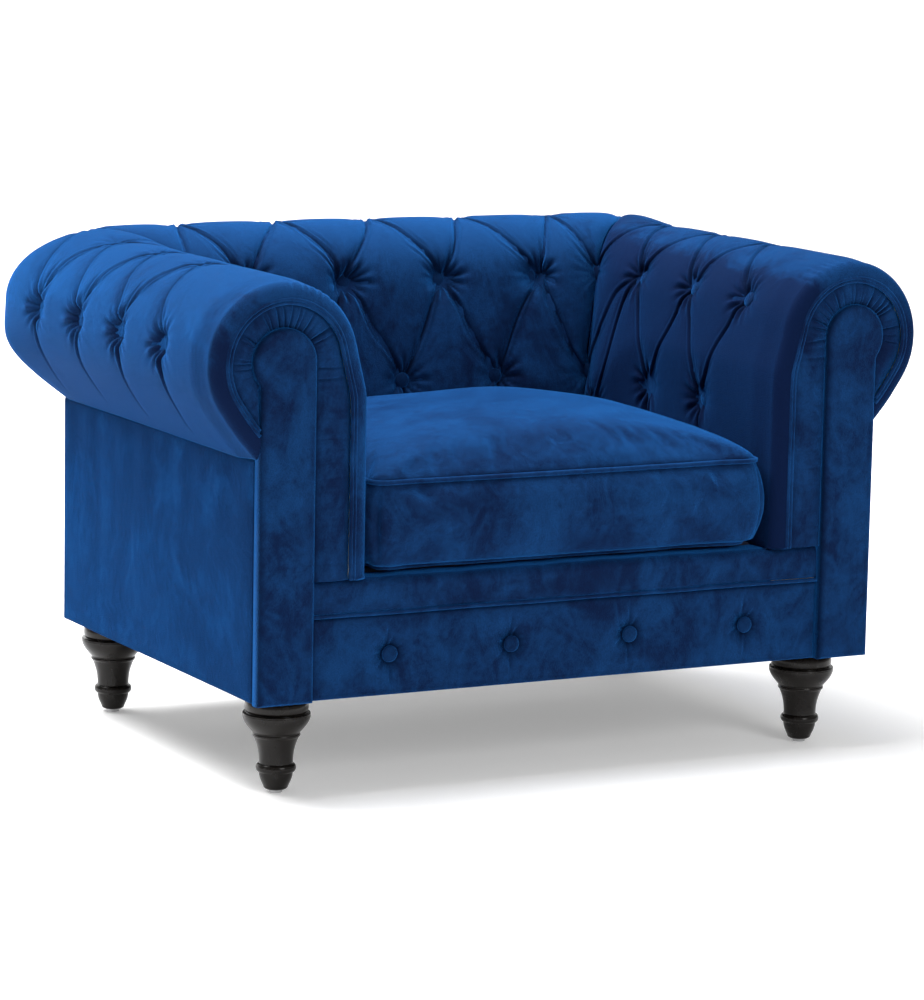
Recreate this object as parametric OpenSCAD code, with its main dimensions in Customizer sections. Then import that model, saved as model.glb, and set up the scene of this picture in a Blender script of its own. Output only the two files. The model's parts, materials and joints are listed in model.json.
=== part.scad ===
// Low-backed armchair with rolled arms and a rolled back of the same height,
// deep-buttoned velvet over a timber frame, a loose seat cushion and turned legs.
// The back and the arms are mitred together at the rear corners.
// Axes: +X to the chair's right as seen from the front, +Y to the rear, +Z up.
// Origin: on the floor, in the middle of the chair's width and depth.

/* [Overall] */
// Width across the two arm rolls
overall_w = 1100; // [1080:5:1120]
// Depth from the arm facings to the back roll
overall_d = 776; // [766:2:786]
// Height of the body's underside above the floor
leg_h = 134; // [120:1:150]

/* [Body] */
// Width over the outside arm panels
body_w = 956; // [950:1:960]
// Clear width between the arms at the seat
seat_w = 632; // [626:1:638]
// Depth from the arm facings to the outside back panel
body_d = 686; // [682:1:690]
// Thickness of the outside panels, board and velvet
panel_t = 8; // [6:0.5:9]

/* [Rolls] */
// Radius of the arm and back rolls
roll_r = 110; // [106:1:112]
// Height of the arm rolls' centre above the body's underside
arm_roll_h = 456; // [446:1:460]
// Height of the back roll's centre above the body's underside
back_roll_h = 466; // [456:1:470]
// Height of the seam under the rolls above the body's underside
seam_h = 329; // [322:1:332]

/* [Padding] */
// Thickness of the velvet covers with their wadding
cover_t = 2.5; // [2:0.1:3]
// Thickness of the foam on the rolls
roll_foam_t = 27; // [24:1:28]
// Thickness of the foam on the inside faces
face_foam_t = 34; // [30:1:36]
// Thickness of the card liner under the foam
liner_t = 3; // [2:0.5:4]

/* [Buttons] */
// Spacing of the buttons along a row
tuft_s = 154.5; // [150:0.5:156]
// Radius of a covered button
button_r = 11.5; // [10:0.5:12]
// Height of a covered button
button_h = 7; // [5:0.5:8]

/* [Seat] */
// Depth of the loose cushion
cushion_d = 510; // [502:1:512]
// Height of the cushion's boxing
boxing_h = 130; // [120:1:134]
// Rise of the crown above the boxing
crown_h = 44; // [30:1:48]
// Height of the seat deck above the body's underside
deck_h = 166; // [162:1:168]

/* [Hidden] */
$fn = 64;
gap = 0.3;

hw = body_w / 2;
x_in = seat_w / 2;
y_front = -overall_d / 2;
y_back = y_front + body_d;
z_body = leg_h;
z_deck = z_body + deck_h;
z_seam = z_body + seam_h;
z_pad = z_deck - 28;

// centres of the rolls
arm_cx = overall_w / 2 - roll_r;
arm_cz = z_body + arm_roll_h;
back_cy = overall_d / 2 - roll_r;
back_cz = z_body + back_roll_h;
y_in = 140;

// mitre between arm and back, a vertical plane through two points in plan
mitre_a = [309, 151];
mitre_b = [overall_w / 2, overall_d / 2];
mitre_slope = (mitre_b[1] - mitre_a[1]) / (mitre_b[0] - mitre_a[0]);
function mitre_y(x) = mitre_a[1] + (x - mitre_a[0]) * mitre_slope;

// layers of the arm front, from the front backwards
y_rim = y_front + 4;
y_band = y_front + 11;
y_board = y_front + 22;
board_t = 18;
facing_w = 81;
facing_x = hw - facing_w;
facing_top_r = 46;
facing_top_z = z_body + 459;
rim_w = 22;
welt_w = 7;

// front border and lip
y_border = y_front + 14;
z_welt = z_body + 111;
z_lip = z_body + 162;

// timber
rail_t = 25;
rail_h = 100;
seat_rail_h = 125;
z_rail = z_body + 3;
post_w = 45;
block_h = 45;
plank_w = 40;
plank_t = 22;
z_plank = back_cz;
y_rail = y_board + rail_t;

// legs
leg_x = 416;
leg_y_front = y_front + 77;
leg_y_rear = y_back - 44.5;
leg_places = [[-leg_x, leg_y_front], [leg_x, leg_y_front], [-leg_x, leg_y_rear], [leg_x, leg_y_rear]];
bolt_r = 4;

// cushion
cushion_y0 = y_front + 10;
cushion_y1 = cushion_y0 + cushion_d;
cushion_hw = x_in - 4;
cushion_z0 = z_deck + 1;
cushion_z1 = z_deck + boxing_h;
corner_r = 26;
crown_r = (pow(cushion_hw, 2) + pow(crown_h, 2)) / (2 * crown_h);
zip_w = 440;

// colours
velvet = [0.08, 0.20, 0.42];
timber = [0.76, 0.62, 0.42];
foam = [0.93, 0.90, 0.78];
steel = [0.62, 0.63, 0.65];
lacquer = [0.10, 0.09, 0.08];

// ---------------------------------------------------------------- helpers

// mirrors the right-hand part to the left for side = -1
module on_side(side) {
    if (side > 0) children();
    else mirror([1, 0, 0]) children();
}

// a box from its lowest and highest corners
module slab(lo, hi) {
    translate(lo) cube([hi[0] - lo[0], hi[1] - lo[1], hi[2] - lo[2]]);
}

// carries an X-Z outline along Y
module along_y(y0, y1) {
    translate([0, y1, 0]) rotate([90, 0, 0]) linear_extrude(height = y1 - y0) children();
}

// carries a Y-Z outline along X
module along_x(x0, x1) {
    translate([x0, 0, 0]) rotate([90, 0, 90]) linear_extrude(height = x1 - x0) children();
}

// arm section carried along Y, its skin t inside the velvet; low is how far down it reaches inside.
// Under the roll the padding slopes straight in to the seam.
module arm_bar(t, low, y0, y1) {
    under = z_seam + (low < z_pad ? -1 : 0);
    back_of_foam = x_in + cover_t + face_foam_t + liner_t;
    along_y(y0, y1) translate([arm_cx, arm_cz]) circle(r = roll_r - t);
    along_y(y0, y1) polygon([
        [x_in + t, low],
        [x_in + t, arm_cz - 50],
        [arm_cx - roll_r + t, arm_cz],
        [arm_cx, arm_cz],
        [arm_cx + (roll_r - t) * 0.7, arm_cz - (roll_r - t) * 0.7],
        [hw + 2 - t, under],
        [back_of_foam, under],
        [back_of_foam, low]
    ]);
}

// back section carried along X, the same idea
module back_bar(t, low, x0, x1) {
    under = z_seam + (low < z_pad ? -1 : 0);
    back_of_foam = y_in + cover_t + face_foam_t + liner_t;
    along_x(x0, x1) translate([back_cy, back_cz]) circle(r = roll_r - t);
    along_x(x0, x1) polygon([
        [y_in + t, low],
        [y_in + t, back_cz - 120],
        [back_cy - roll_r + t, back_cz - 10],
        [back_cy, back_cz],
        [back_cy + (roll_r - t) * 0.7, back_cz - (roll_r - t) * 0.7],
        [y_back + 2 - t, under],
        [back_of_foam, under],
        [back_of_foam, low]
    ]);
}

// hollow of the arm under the foam; t is added for the liner's own thickness
module arm_hollow(t, low, y0, y1) {
    r = roll_r - cover_t - roll_foam_t - t;
    along_y(y0, y1) translate([arm_cx, arm_cz]) circle(r = r);
    along_y(y0, y1) polygon([
        [x_in + cover_t + face_foam_t + t, low],
        [x_in + cover_t + face_foam_t + t, arm_cz - 30],
        [arm_cx, arm_cz],
        [hw - panel_t - 1, arm_cz - 40],
        [hw - panel_t - 1, low]
    ]);
}

// hollow of the back under the foam
module back_hollow(t, low, x0, x1) {
    r = roll_r - cover_t - roll_foam_t - t;
    along_x(x0, x1) translate([back_cy, back_cz]) circle(r = r);
    along_x(x0, x1) polygon([
        [y_in + cover_t + face_foam_t + t, low],
        [y_in + cover_t + face_foam_t + t, back_cz - 90],
        [back_cy - r + 4, back_cz - 20],
        [back_cy, back_cz],
        [y_back - panel_t - 1, back_cz - 40],
        [y_back - panel_t - 1, low]
    ]);
}

// plan on the arm's side of the mitre, set back by g
module arm_side_of_mitre(g) {
    translate([0, 0, z_body]) linear_extrude(height = 700) polygon([
        [200, y_front - 50],
        [700, y_front - 50],
        [700, mitre_y(700) - g],
        [200, mitre_y(200) - g]
    ]);
}

// plan on the back's side of the two mitres
module back_side_of_mitre(g) {
    translate([0, 0, z_body]) linear_extrude(height = 700) polygon([
        [-700, mitre_y(700) + g],
        [-200, mitre_y(200) + g],
        [200, mitre_y(200) + g],
        [700, mitre_y(700) + g],
        [700, 900],
        [-700, 900]
    ]);
}

// places a child whose +Z axis is the button's own axis
module at_button(b) {
    translate(b[0]) rotate([0, b[1], b[2]]) children();
}

// pocket that a sunk button pulls into the padding, widening outwards; t is added on all its walls
pocket_clear = 0.5;
pocket_depth = 48;
pocket_flare = 36;
flare_wall = 1.74;
module pocket(t) {
    r = button_r + pocket_clear + t;
    translate([0, 0, -t]) cylinder(h = button_h, r = r);
    translate([0, 0, button_h - t])
        cylinder(h = pocket_depth + t, r1 = r, r2 = button_r + pocket_flare + flare_wall * t);
}

module covered_button() {
    cylinder(h = 2, r = button_r - 1);
    translate([0, 0, 2]) cylinder(h = 2.5, r = button_r);
    translate([0, 0, 4.5]) intersection() {
        cylinder(h = button_h - 4.5, r = button_r);
        translate([0, 0, -22]) sphere(r = 24.5);
    }
}

// button places as [foot of the button, tilt from vertical, turn about Z]; rows b on the shoulder,
// c at the foot of the inside face, o on the outside of the roll
z_row_c = z_body + 350;
roll_lift = roll_r - roll_foam_t + gap + 0.5;
arm_in_angle = 27;
arm_out_angle = 8;
arm_in_r = 95;
out_r = 94;
back_in_angle = 18;
back_out_angle = 8;

function arm_b(y) = [
    [arm_cx - arm_in_r * cos(arm_in_angle), y, arm_cz + arm_in_r * sin(arm_in_angle)],
    -(90 - arm_in_angle), 0];
function arm_o(y) = [
    [arm_cx + out_r * cos(arm_out_angle), y, arm_cz + out_r * sin(arm_out_angle)],
    90 - arm_out_angle, 0];
function arm_c(y) = [[x_in + 14, y, z_row_c], -90, 0];
function back_b(x) = [
    [x, back_cy - roll_lift * cos(back_in_angle), back_cz + roll_lift * sin(back_in_angle)],
    90 - back_in_angle, -90];
function back_o(x) = [
    [x, back_cy + out_r * cos(back_out_angle), back_cz + out_r * sin(back_out_angle)],
    90 - back_out_angle, 90];
function back_c(x) = [[x, y_in + 16, z_row_c], 90, -90];

// the arms' rows start near the mitre and run forwards, a little closer together than the back's
arm_tuft_s = tuft_s - 6.5;
arm_button_rows = concat(
    [for (i = [0:2]) arm_b(52 - i * arm_tuft_s)],
    [for (i = [0:2]) arm_c(125 - i * arm_tuft_s)],
    [for (i = [0:3]) arm_o(229 - i * arm_tuft_s)]
);
back_button_rows = concat(
    [for (i = [-1.5:1:1.5]) back_b(i * tuft_s)],
    [for (i = [-1:1:1]) back_c(i * tuft_s)],
    [for (i = [-1.5:1:1.5]) back_o(i * tuft_s)]
);
corner_b = [[mitre_a[0] + 39, mitre_y(mitre_a[0] + 39), back_cz + 27], -76, 45];
corner_c = [[mitre_a[0] + 8, mitre_y(mitre_a[0] + 8), z_row_c], -90, 45];
corner_buttons = [corner_b, corner_c];

// ---------------------------------------------------------------- legs

// turned outline of a leg: a tapered foot, a ring, a waist, a vase and a top bead
module leg_outline() {
    top = z_rail;
    k = leg_h / 134;
    polygon(concat(
        [[0, 4 * k], [10, 4 * k]],
        [for (a = [15:15:75]) [10 + 7 * sin(a), (4 + 5 * (1 - cos(a))) * k]],
        [for (i = [0:4]) [17.2 + 5.8 * sin(i * 22.5), (9 + i * 4.7) * k]],
        [for (a = [-80:20:80]) [23 + 4.4 * cos(a), (34.5 + 6 * sin(a)) * k]],
        [for (i = [0:6]) [23 + 8 * pow(i / 6, 2.2), (41.5 + i * 6) * k]],
        [[32.6, 78.6 * k], [32.6, 81.2 * k], [31.8, 82.4 * k]],
        [for (i = [0:8]) [32 + 14.4 * sin(i * 11.25), (83 + i * 3.15) * k]],
        [for (a = [60:30:150]) [44.9 + 1.5 * sin(a), (109.2 - 1.5 * cos(a)) * k]],
        [for (a = [-80:20:80]) [39.5 + 4 * cos(a), (119.5 + 9 * sin(a)) * k]],
        [[36, 130 * k], [36, top], [0, top]]
    ));
}

module leg(place) {
    color(lacquer) translate([place[0], place[1], 0]) difference() {
        rotate_extrude() leg_outline();
        translate([0, 0, z_rail - 34]) cylinder(h = 40, r = bolt_r + 0.05);
        translate([0, 0, -1]) cylinder(h = 18.2, r = 1.6);
    }
}

module leg_glides() {
    color(steel) for (p = leg_places) translate([p[0], p[1], 0]) {
        cylinder(h = 3.9, r = 9);
        translate([0, 0, 3.9]) cylinder(h = 13, r = 1.5);
    }
}

module hanger_bolts() {
    color(steel) for (p = leg_places) translate([p[0], p[1], z_rail - 32]) cylinder(h = 60, r = bolt_r);
}

module tee_nuts() {
    color(steel) for (p = leg_places) translate([p[0], p[1], z_rail]) difference() {
        union() {
            translate([0, 0, 0.2]) cylinder(h = 1.5, r = 11);
            translate([0, 0, 1]) cylinder(h = 11, r = 5.2);
        }
        translate([0, 0, -1]) cylinder(h = 20, r = bolt_r + 0.1);
    }
}

module leg_blocks() {
    color(timber) for (sx = [-1, 1], rear = [0, 1]) {
        y0 = rear ? y_back - panel_t - rail_t - 66 : y_rail;
        py = rear ? leg_y_rear : leg_y_front;
        difference() {
            on_side(sx) slab([hw - panel_t - rail_t - 70, y0, z_rail],
                [hw - panel_t - rail_t, y0 + 66, z_rail + block_h]);
            translate([sx * leg_x, py, z_rail - 1]) cylinder(h = 2.8, r = 11.2);
            translate([sx * leg_x, py, z_rail - 1]) cylinder(h = block_h + 2, r = 5.4);
        }
    }
}

// ---------------------------------------------------------------- timber frame

module front_rail() {
    color(timber) slab([-facing_x, y_board, z_rail], [facing_x, y_rail, z_rail + seat_rail_h]);
}

module back_rail() {
    x = hw - panel_t - rail_t;
    color(timber) slab([-x, y_back - panel_t - rail_t, z_rail], [x, y_back - panel_t, z_rail + seat_rail_h]);
}

module side_rail() {
    color(timber) slab([hw - panel_t - rail_t, y_board + board_t, z_rail],
        [hw - panel_t, y_back - panel_t, z_rail + rail_h]);
}

module corner_post() {
    x = hw - panel_t - rail_t;
    y = y_back - panel_t - rail_t;
    color(timber) slab([x - post_w, y - post_w, z_rail + block_h], [x, y, z_plank]);
}

// scroll board at the front of the arm, with the post under it
module arm_board() {
    y1 = y_board + board_t;
    color(timber) {
        intersection() {
            arm_hollow(liner_t + 0.2, z_rail, y_board, y1);
            slab([0, y_board - 1, z_deck], [overall_w, y1 + 1, z_deck + 500]);
        }
        slab([facing_x, y_board, z_rail], [hw - panel_t - 1, y1, arm_cz - 40]);
    }
}

module arm_plank() {
    x = hw - panel_t - rail_t - 1;
    color(timber) slab([x - plank_w, y_board + board_t, z_plank],
        [x, y_back - panel_t - rail_t, z_plank + plank_t]);
}

module back_plank() {
    x = hw - panel_t - rail_t - 1 - plank_w;
    y = y_back - panel_t - rail_t - 3;
    color(timber) slab([-x, y - plank_w, z_plank], [x, y, z_plank + plank_t]);
}

module arm_ribs() {
    x = hw - panel_t - rail_t - 1;
    color(timber) for (y = [-150, 40]) difference() {
        union() {
            intersection() {
                arm_hollow(liner_t + 0.2, z_rail, y, y + board_t);
                slab([0, y - 1, z_deck], [overall_w, y + board_t + 1, z_deck + 500]);
            }
            slab([x + 1, y, z_rail + rail_h], [hw - panel_t - 1, y + board_t, z_deck + 1]);
        }
        slab([x - plank_w - 0.2, y - 1, z_plank - 0.2], [x + 0.2, y + board_t + 1, z_plank + plank_t + 0.2]);
        translate([x - 34, y - 1, z_deck + 110]) rotate([-90, 0, 0]) cylinder(h = board_t + 2, r = 24);
    }
}

module back_ribs() {
    y = y_back - panel_t - rail_t - 3;
    color(timber) for (x = [-232, -9, 214]) difference() {
        union() {
            intersection() {
                back_hollow(liner_t + 0.2, z_rail, x, x + board_t);
                slab([x - 1, 0, z_deck], [x + board_t + 1, overall_d, z_deck + 500]);
            }
            slab([x, y + 3, z_rail + seat_rail_h], [x + board_t, y_back - panel_t - 1, z_deck + 1]);
        }
        slab([x - 1, y - plank_w - 0.2, z_plank - 0.2], [x + board_t + 1, y + 0.2, z_plank + plank_t + 0.2]);
        translate([x - 1, y - 24, z_deck + 110]) rotate([0, 90, 0]) cylinder(h = board_t + 2, r = 26);
    }
}

// ---------------------------------------------------------------- seat suspension

wire = 4;
z_spring = z_rail + seat_rail_h + 1.5;
spring_y0 = y_rail - 14;
spring_pitch = 27.5;
spring_turns = 22;
spring_w = 46;

// one zigzag spring: straight bars across, joined alternately by half rings
module zigzag_spring() {
    r = spring_pitch / 2;
    for (i = [0:spring_turns]) {
        translate([-spring_w / 2, i * spring_pitch - wire / 2]) square([spring_w, wire]);
        if (i < spring_turns) {
            s = i % 2 == 0 ? 1 : -1;
            translate([s * spring_w / 2, (i + 0.5) * spring_pitch]) intersection() {
                difference() {
                    circle(r = r + wire / 2);
                    circle(r = r - wire / 2);
                }
                translate([s > 0 ? 0 : -40, -40]) square([40, 80]);
            }
        }
    }
}

spring_places = [for (i = [-2:2]) i * 118];
spring_len = spring_turns * spring_pitch;

module seat_springs() {
    color(steel) for (x = spring_places)
        translate([x, spring_y0, z_spring]) linear_extrude(height = wire) zigzag_spring();
}

// folded steel clips that hold each spring's end bars to the rails
module spring_clips() {
    color(steel) for (x = spring_places, y = [spring_y0, spring_y0 + spring_len]) difference() {
        slab([x - 15, y - 6, z_rail + seat_rail_h], [x + 15, y + 6, z_spring + wire + 1.2]);
        slab([x - 16, y - wire / 2 - 0.2, z_spring - 0.2], [x + 16, y + wire / 2 + 0.2, z_spring + wire + 0.2]);
    }
}

module insulator_felt() {
    z = z_spring + wire + 1.4;
    color([0.35, 0.34, 0.32]) slab([-x_in, y_rail + 2, z], [x_in, y_in + 120, z + 3]);
}

module deck_pad() {
    z = z_spring + wire + 4.7;
    color([0.12, 0.13, 0.16]) slab([-x_in + 1, y_rail + 14, z], [x_in - 1, y_in - gap, z_deck]);
}

module dust_cover() {
    color([0.08, 0.08, 0.08]) difference() {
        slab([-hw + panel_t + 1, y_board + 1, z_body + 1], [hw - panel_t - 1, y_back - panel_t - 1, z_body + 2]);
        for (p = leg_places) translate([p[0], p[1], z_body]) cylinder(h = 5, r = 46);
    }
}

// ---------------------------------------------------------------- liners, foam and covers

module arm_liner() {
    color([0.66, 0.55, 0.40]) intersection() {
        difference() {
            arm_hollow(0.3, z_pad, y_board, 500);
            arm_hollow(liner_t, z_pad - 1, y_board - 1, 501);
        }
        arm_side_of_mitre(gap);
        translate([0, y_front, z_pad]) cube([overall_w, overall_d, 500]);
    }
}

module back_liner() {
    color([0.66, 0.55, 0.40]) intersection() {
        difference() {
            back_hollow(0.3, z_pad, -600, 600);
            back_hollow(liner_t, z_pad - 1, -601, 601);
        }
        back_side_of_mitre(gap);
        translate([-overall_w / 2, -100, z_pad]) cube([overall_w, overall_d, 500]);
    }
}

// arm padding as a filled block whose skin lies t inside the velvet
module arm_block(t, low, end) {
    difference() {
        intersection() {
            arm_bar(t, low, y_rim + t, 500);
            arm_side_of_mitre(end);
        }
        for (b = arm_button_rows) at_button(b) pocket(t);
        for (b = corner_buttons) at_button(b) pocket(t);
    }
}

module back_block(t, low, end) {
    difference() {
        intersection() {
            back_bar(t, low, -600, 600);
            back_side_of_mitre(end);
        }
        for (b = back_button_rows) at_button(b) pocket(t);
        for (s = [-1, 1], b = corner_buttons) on_side(s) at_button(b) pocket(t);
    }
}

// the corner under the arm's front edge, left free for the lip
module lip_notch(g) {
    slab([0, y_front - 1, z_body], [facing_x + 50, y_board + g, z_lip + gap + g]);
}

module arm_foam() {
    color(foam) difference() {
        arm_block(cover_t + gap, z_pad, gap);
        arm_hollow(0, z_pad - 1, y_rim - 5, 500);
        arm_bar(rim_w, z_pad - 1, y_rim - 5, y_board + gap);
        facing_bar(gap, y_rim - 5, y_board);
        lip_notch(gap);
    }
}

module arm_cover() {
    color(velvet) difference() {
        arm_block(0, z_pad, gap);
        arm_block(cover_t, z_pad - 1, -5);
        arm_bar(rim_w, z_pad - 1, y_rim - 5, y_board);
        facing_bar(gap, y_rim - 5, y_board);
        lip_notch(0);
    }
}

module back_foam() {
    color(foam) difference() {
        back_block(cover_t + gap, z_pad, gap);
        back_hollow(0, z_pad - 1, -600, 600);
    }
}

module back_cover() {
    color(velvet) difference() {
        back_block(0, z_pad, gap);
        back_block(cover_t, z_pad - 1, -5);
    }
}

// ---------------------------------------------------------------- outside panels

module arm_panel() {
    color(velvet) slab([hw - panel_t, y_board, z_body], [hw, y_back, z_seam - gap]);
}

module back_panel() {
    color(velvet) slab([-hw + panel_t + gap, y_back - panel_t, z_body],
        [hw - panel_t - gap, y_back, z_seam - gap]);
}

// ---------------------------------------------------------------- arm fronts

// facing with a round head, grown by g
module facing_bar(g, y0, y1) {
    slab([facing_x - g, y0, z_body], [hw + g, y1, facing_top_z]);
    along_y(y0, y1) translate([facing_x + facing_top_r, facing_top_z]) circle(r = facing_top_r + g);
}

module facing_panel() {
    color(velvet) facing_bar(0, y_front, y_board - gap);
}

// gathered ring of velvet between the facing and its piping
module facing_band() {
    t = rim_w + welt_w + gap;
    color(velvet) difference() {
        union() {
            arm_bar(t, z_pad, y_band, y_board - gap);
            slab([x_in + t, y_band, z_pad], [x_in + t + 60, y_board - gap, z_seam + 40]);
        }
        facing_bar(gap, y_band - 1, y_board);
        slab([0, y_band - 1, z_body], [overall_w, y_board, z_lip + gap]);
    }
}

module facing_welt() {
    y0 = y_rim + 1;
    color(velvet) difference() {
        arm_bar(rim_w + gap, z_pad, y0, y_board - gap);
        arm_bar(rim_w + welt_w, z_pad - 1, y0 - 1, y_board);
        slab([x_in + rim_w + welt_w, y0 - 1, z_pad - 1], [x_in + 90, y_board, z_seam + 40]);
        facing_bar(gap, y0 - 1, y_board);
        slab([0, y0 - 1, z_body], [overall_w, y_board, z_lip + gap]);
    }
}

// ---------------------------------------------------------------- front border

module front_lip() {
    r = 12;
    x = facing_x - gap;
    y0 = y_border + 2;
    y1 = y_rail + 13.5;
    color(velvet) difference() {
        union() {
            slab([-x, y0, z_welt + 6], [x, y1, z_lip - r]);
            slab([-x, y0 + r, z_lip - r - 2], [x, y1, z_lip]);
            along_x(-x, x) translate([y0 + r, z_lip - r]) circle(r = r);
        }
        slab([-x - 1, y_board - gap, z_body], [x + 1, y1 + 1, z_rail + seat_rail_h + gap]);
        slab([-x - 1, y_rail - 22, z_body], [x + 1, y1 + 1, z_spring + wire + 8]);
        for (s = [-1, 1]) on_side(s) slab([x_in - 1, y_board - gap, z_body], [facing_x + 10, y1 + 1, z_deck]);
    }
}

module front_border() {
    color(velvet) difference() {
        slab([-facing_x + gap, y_border, z_body], [facing_x - gap, y_board - gap, z_welt - gap]);
        for (b = border_places) at_button(b) cylinder(h = 20, r = button_r + 0.4);
    }
}

module border_welt() {
    color(velvet) slab([-facing_x + gap, y_border - 2, z_welt], [facing_x - gap, y_board - gap, z_welt + 6 - gap]);
}

border_places = [for (i = [-1.5:1:1.5]) [[i * 186, y_border + 3, z_body + 57], 90, -90]];

// ---------------------------------------------------------------- buttons

module button_row(places) {
    color(velvet) for (b = places) at_button(b) covered_button();
}

module back_buttons() {
    button_row(back_button_rows);
    for (s = [-1, 1]) on_side(s) button_row(corner_buttons);
}

// ---------------------------------------------------------------- loose seat cushion

// the cushion's plan with rounded corners, carried up from z0 to z1
module cushion_slab(t, z0, z1) {
    r = corner_r - t;
    x = cushion_hw - t;
    y0 = cushion_y0 + t;
    y1 = cushion_y1 - t;
    slab([-x + r, y0, z0], [x - r, y1, z1]);
    slab([-x, y0 + r, z0], [x, y1 - r, z1]);
    for (cx = [-x + r, x - r], cy = [y0 + r, y1 - r]) translate([cx, cy, z0]) cylinder(h = z1 - z0, r = r);
}

// boxing with a shallow domed crown, t inside the cover's outer face
module cushion_block(t) {
    cushion_slab(t, cushion_z0 + t, cushion_z1 - t);
    intersection() {
        cushion_slab(t, cushion_z0 + 20, cushion_z1 + 100);
        translate([0, (cushion_y0 + cushion_y1) / 2, cushion_z1 + crown_h - crown_r]) sphere(r = crown_r - t, $fn = 128);
    }
}

module cushion_cover() {
    color(velvet) difference() {
        cushion_block(0);
        cushion_block(cover_t);
        welt_grooves();
    }
}

module cushion_foam() {
    color(foam) cushion_block(cover_t + gap);
}

// piping let into the cover round its top and bottom edges
welt_d = 1.6;
module welt_ring(z, grow) {
    difference() {
        cushion_slab(grow > 0 ? -3 : -1.4, z - grow, z + 5 + grow);
        cushion_slab(welt_d + grow, z - 1, z + 6);
    }
}

module welt_grooves() {
    for (z = [cushion_z0 + 1.5, cushion_z1 - 9]) welt_ring(z, 0.1);
}

module cushion_welts() {
    color(velvet) for (z = [cushion_z0 + 1.5, cushion_z1 - 9]) welt_ring(z, 0);
}

z_zip = cushion_z0 + 62;
zip_tape_t = 1.2;

module zip_tape() {
    color([0.07, 0.13, 0.30]) slab([-zip_w / 2, cushion_y1 + 0.1, z_zip - 13],
        [zip_w / 2, cushion_y1 + 0.1 + zip_tape_t, z_zip + 13]);
}

// slider body with its pull hanging down
module zip_slider() {
    y = cushion_y1 + zip_tape_t + 0.5;
    x = -zip_w / 2 + 12;
    color(steel) {
        slab([x - 5, y, z_zip - 6], [x + 5, y + 2.4, z_zip + 6]);
        slab([x - 3, y + 0.6, z_zip - 30], [x + 3, y + 1.8, z_zip - 6]);
    }
}

// ---------------------------------------------------------------- nodes

leg(leg_places[0]);  // leg_front_left
leg(leg_places[1]);  // leg_front_right
leg(leg_places[2]);  // leg_rear_left
leg(leg_places[3]);  // leg_rear_right
leg_glides();
hanger_bolts();
tee_nuts();
leg_blocks();
front_rail();
back_rail();
on_side(-1) side_rail();  // side_rail_left
on_side(1) side_rail();  // side_rail_right
on_side(-1) corner_post();  // corner_post_left
on_side(1) corner_post();  // corner_post_right
on_side(-1) arm_board();  // arm_board_left
on_side(1) arm_board();  // arm_board_right
on_side(-1) arm_plank();  // arm_plank_left
on_side(1) arm_plank();  // arm_plank_right
back_plank();
on_side(-1) arm_ribs();  // arm_ribs_left
on_side(1) arm_ribs();  // arm_ribs_right
back_ribs();
seat_springs();
spring_clips();
insulator_felt();
deck_pad();
dust_cover();
on_side(-1) arm_liner();  // arm_liner_left
on_side(1) arm_liner();  // arm_liner_right
back_liner();
on_side(-1) arm_foam();  // arm_foam_left
on_side(1) arm_foam();  // arm_foam_right
back_foam();
on_side(-1) arm_cover();  // arm_cover_left
on_side(1) arm_cover();  // arm_cover_right
back_cover();
on_side(-1) arm_panel();  // arm_panel_left
on_side(1) arm_panel();  // arm_panel_right
back_panel();
on_side(-1) facing_panel();  // facing_panel_left
on_side(1) facing_panel();  // facing_panel_right
on_side(-1) facing_band();  // facing_band_left
on_side(1) facing_band();  // facing_band_right
on_side(-1) facing_welt();  // facing_welt_left
on_side(1) facing_welt();  // facing_welt_right
front_lip();
front_border();
border_welt();
back_buttons();
on_side(-1) button_row(arm_button_rows);  // arm_buttons_left
on_side(1) button_row(arm_button_rows);  // arm_buttons_right
button_row(border_places);  // border_buttons
cushion_cover();
cushion_foam();
cushion_welts();
zip_tape();
zip_slider();
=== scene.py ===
import json
import math
import bpy
import numpy as np
from mathutils import Matrix, Vector
from mathutils.bvhtree import BVHTree


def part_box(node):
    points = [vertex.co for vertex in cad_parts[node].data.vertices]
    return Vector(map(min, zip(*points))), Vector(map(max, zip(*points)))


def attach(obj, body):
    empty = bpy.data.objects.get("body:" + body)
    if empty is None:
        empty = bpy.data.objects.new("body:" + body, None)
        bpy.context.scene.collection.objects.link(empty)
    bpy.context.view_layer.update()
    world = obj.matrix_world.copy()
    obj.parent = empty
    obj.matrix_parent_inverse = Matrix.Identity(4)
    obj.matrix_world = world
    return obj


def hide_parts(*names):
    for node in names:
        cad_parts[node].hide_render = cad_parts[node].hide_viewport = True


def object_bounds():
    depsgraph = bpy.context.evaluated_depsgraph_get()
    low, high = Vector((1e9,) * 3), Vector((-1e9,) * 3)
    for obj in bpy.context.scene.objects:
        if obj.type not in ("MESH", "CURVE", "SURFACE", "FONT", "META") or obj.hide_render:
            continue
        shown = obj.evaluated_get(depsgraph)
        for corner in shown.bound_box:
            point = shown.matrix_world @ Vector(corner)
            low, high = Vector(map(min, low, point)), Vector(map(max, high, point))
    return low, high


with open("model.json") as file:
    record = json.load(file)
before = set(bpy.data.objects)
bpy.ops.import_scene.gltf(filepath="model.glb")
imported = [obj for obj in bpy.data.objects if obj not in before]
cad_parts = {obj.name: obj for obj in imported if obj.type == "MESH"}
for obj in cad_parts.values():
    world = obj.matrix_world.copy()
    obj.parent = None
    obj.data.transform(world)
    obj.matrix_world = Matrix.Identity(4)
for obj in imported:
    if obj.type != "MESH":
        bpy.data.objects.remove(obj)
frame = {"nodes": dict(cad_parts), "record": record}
cad_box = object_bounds()

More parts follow.
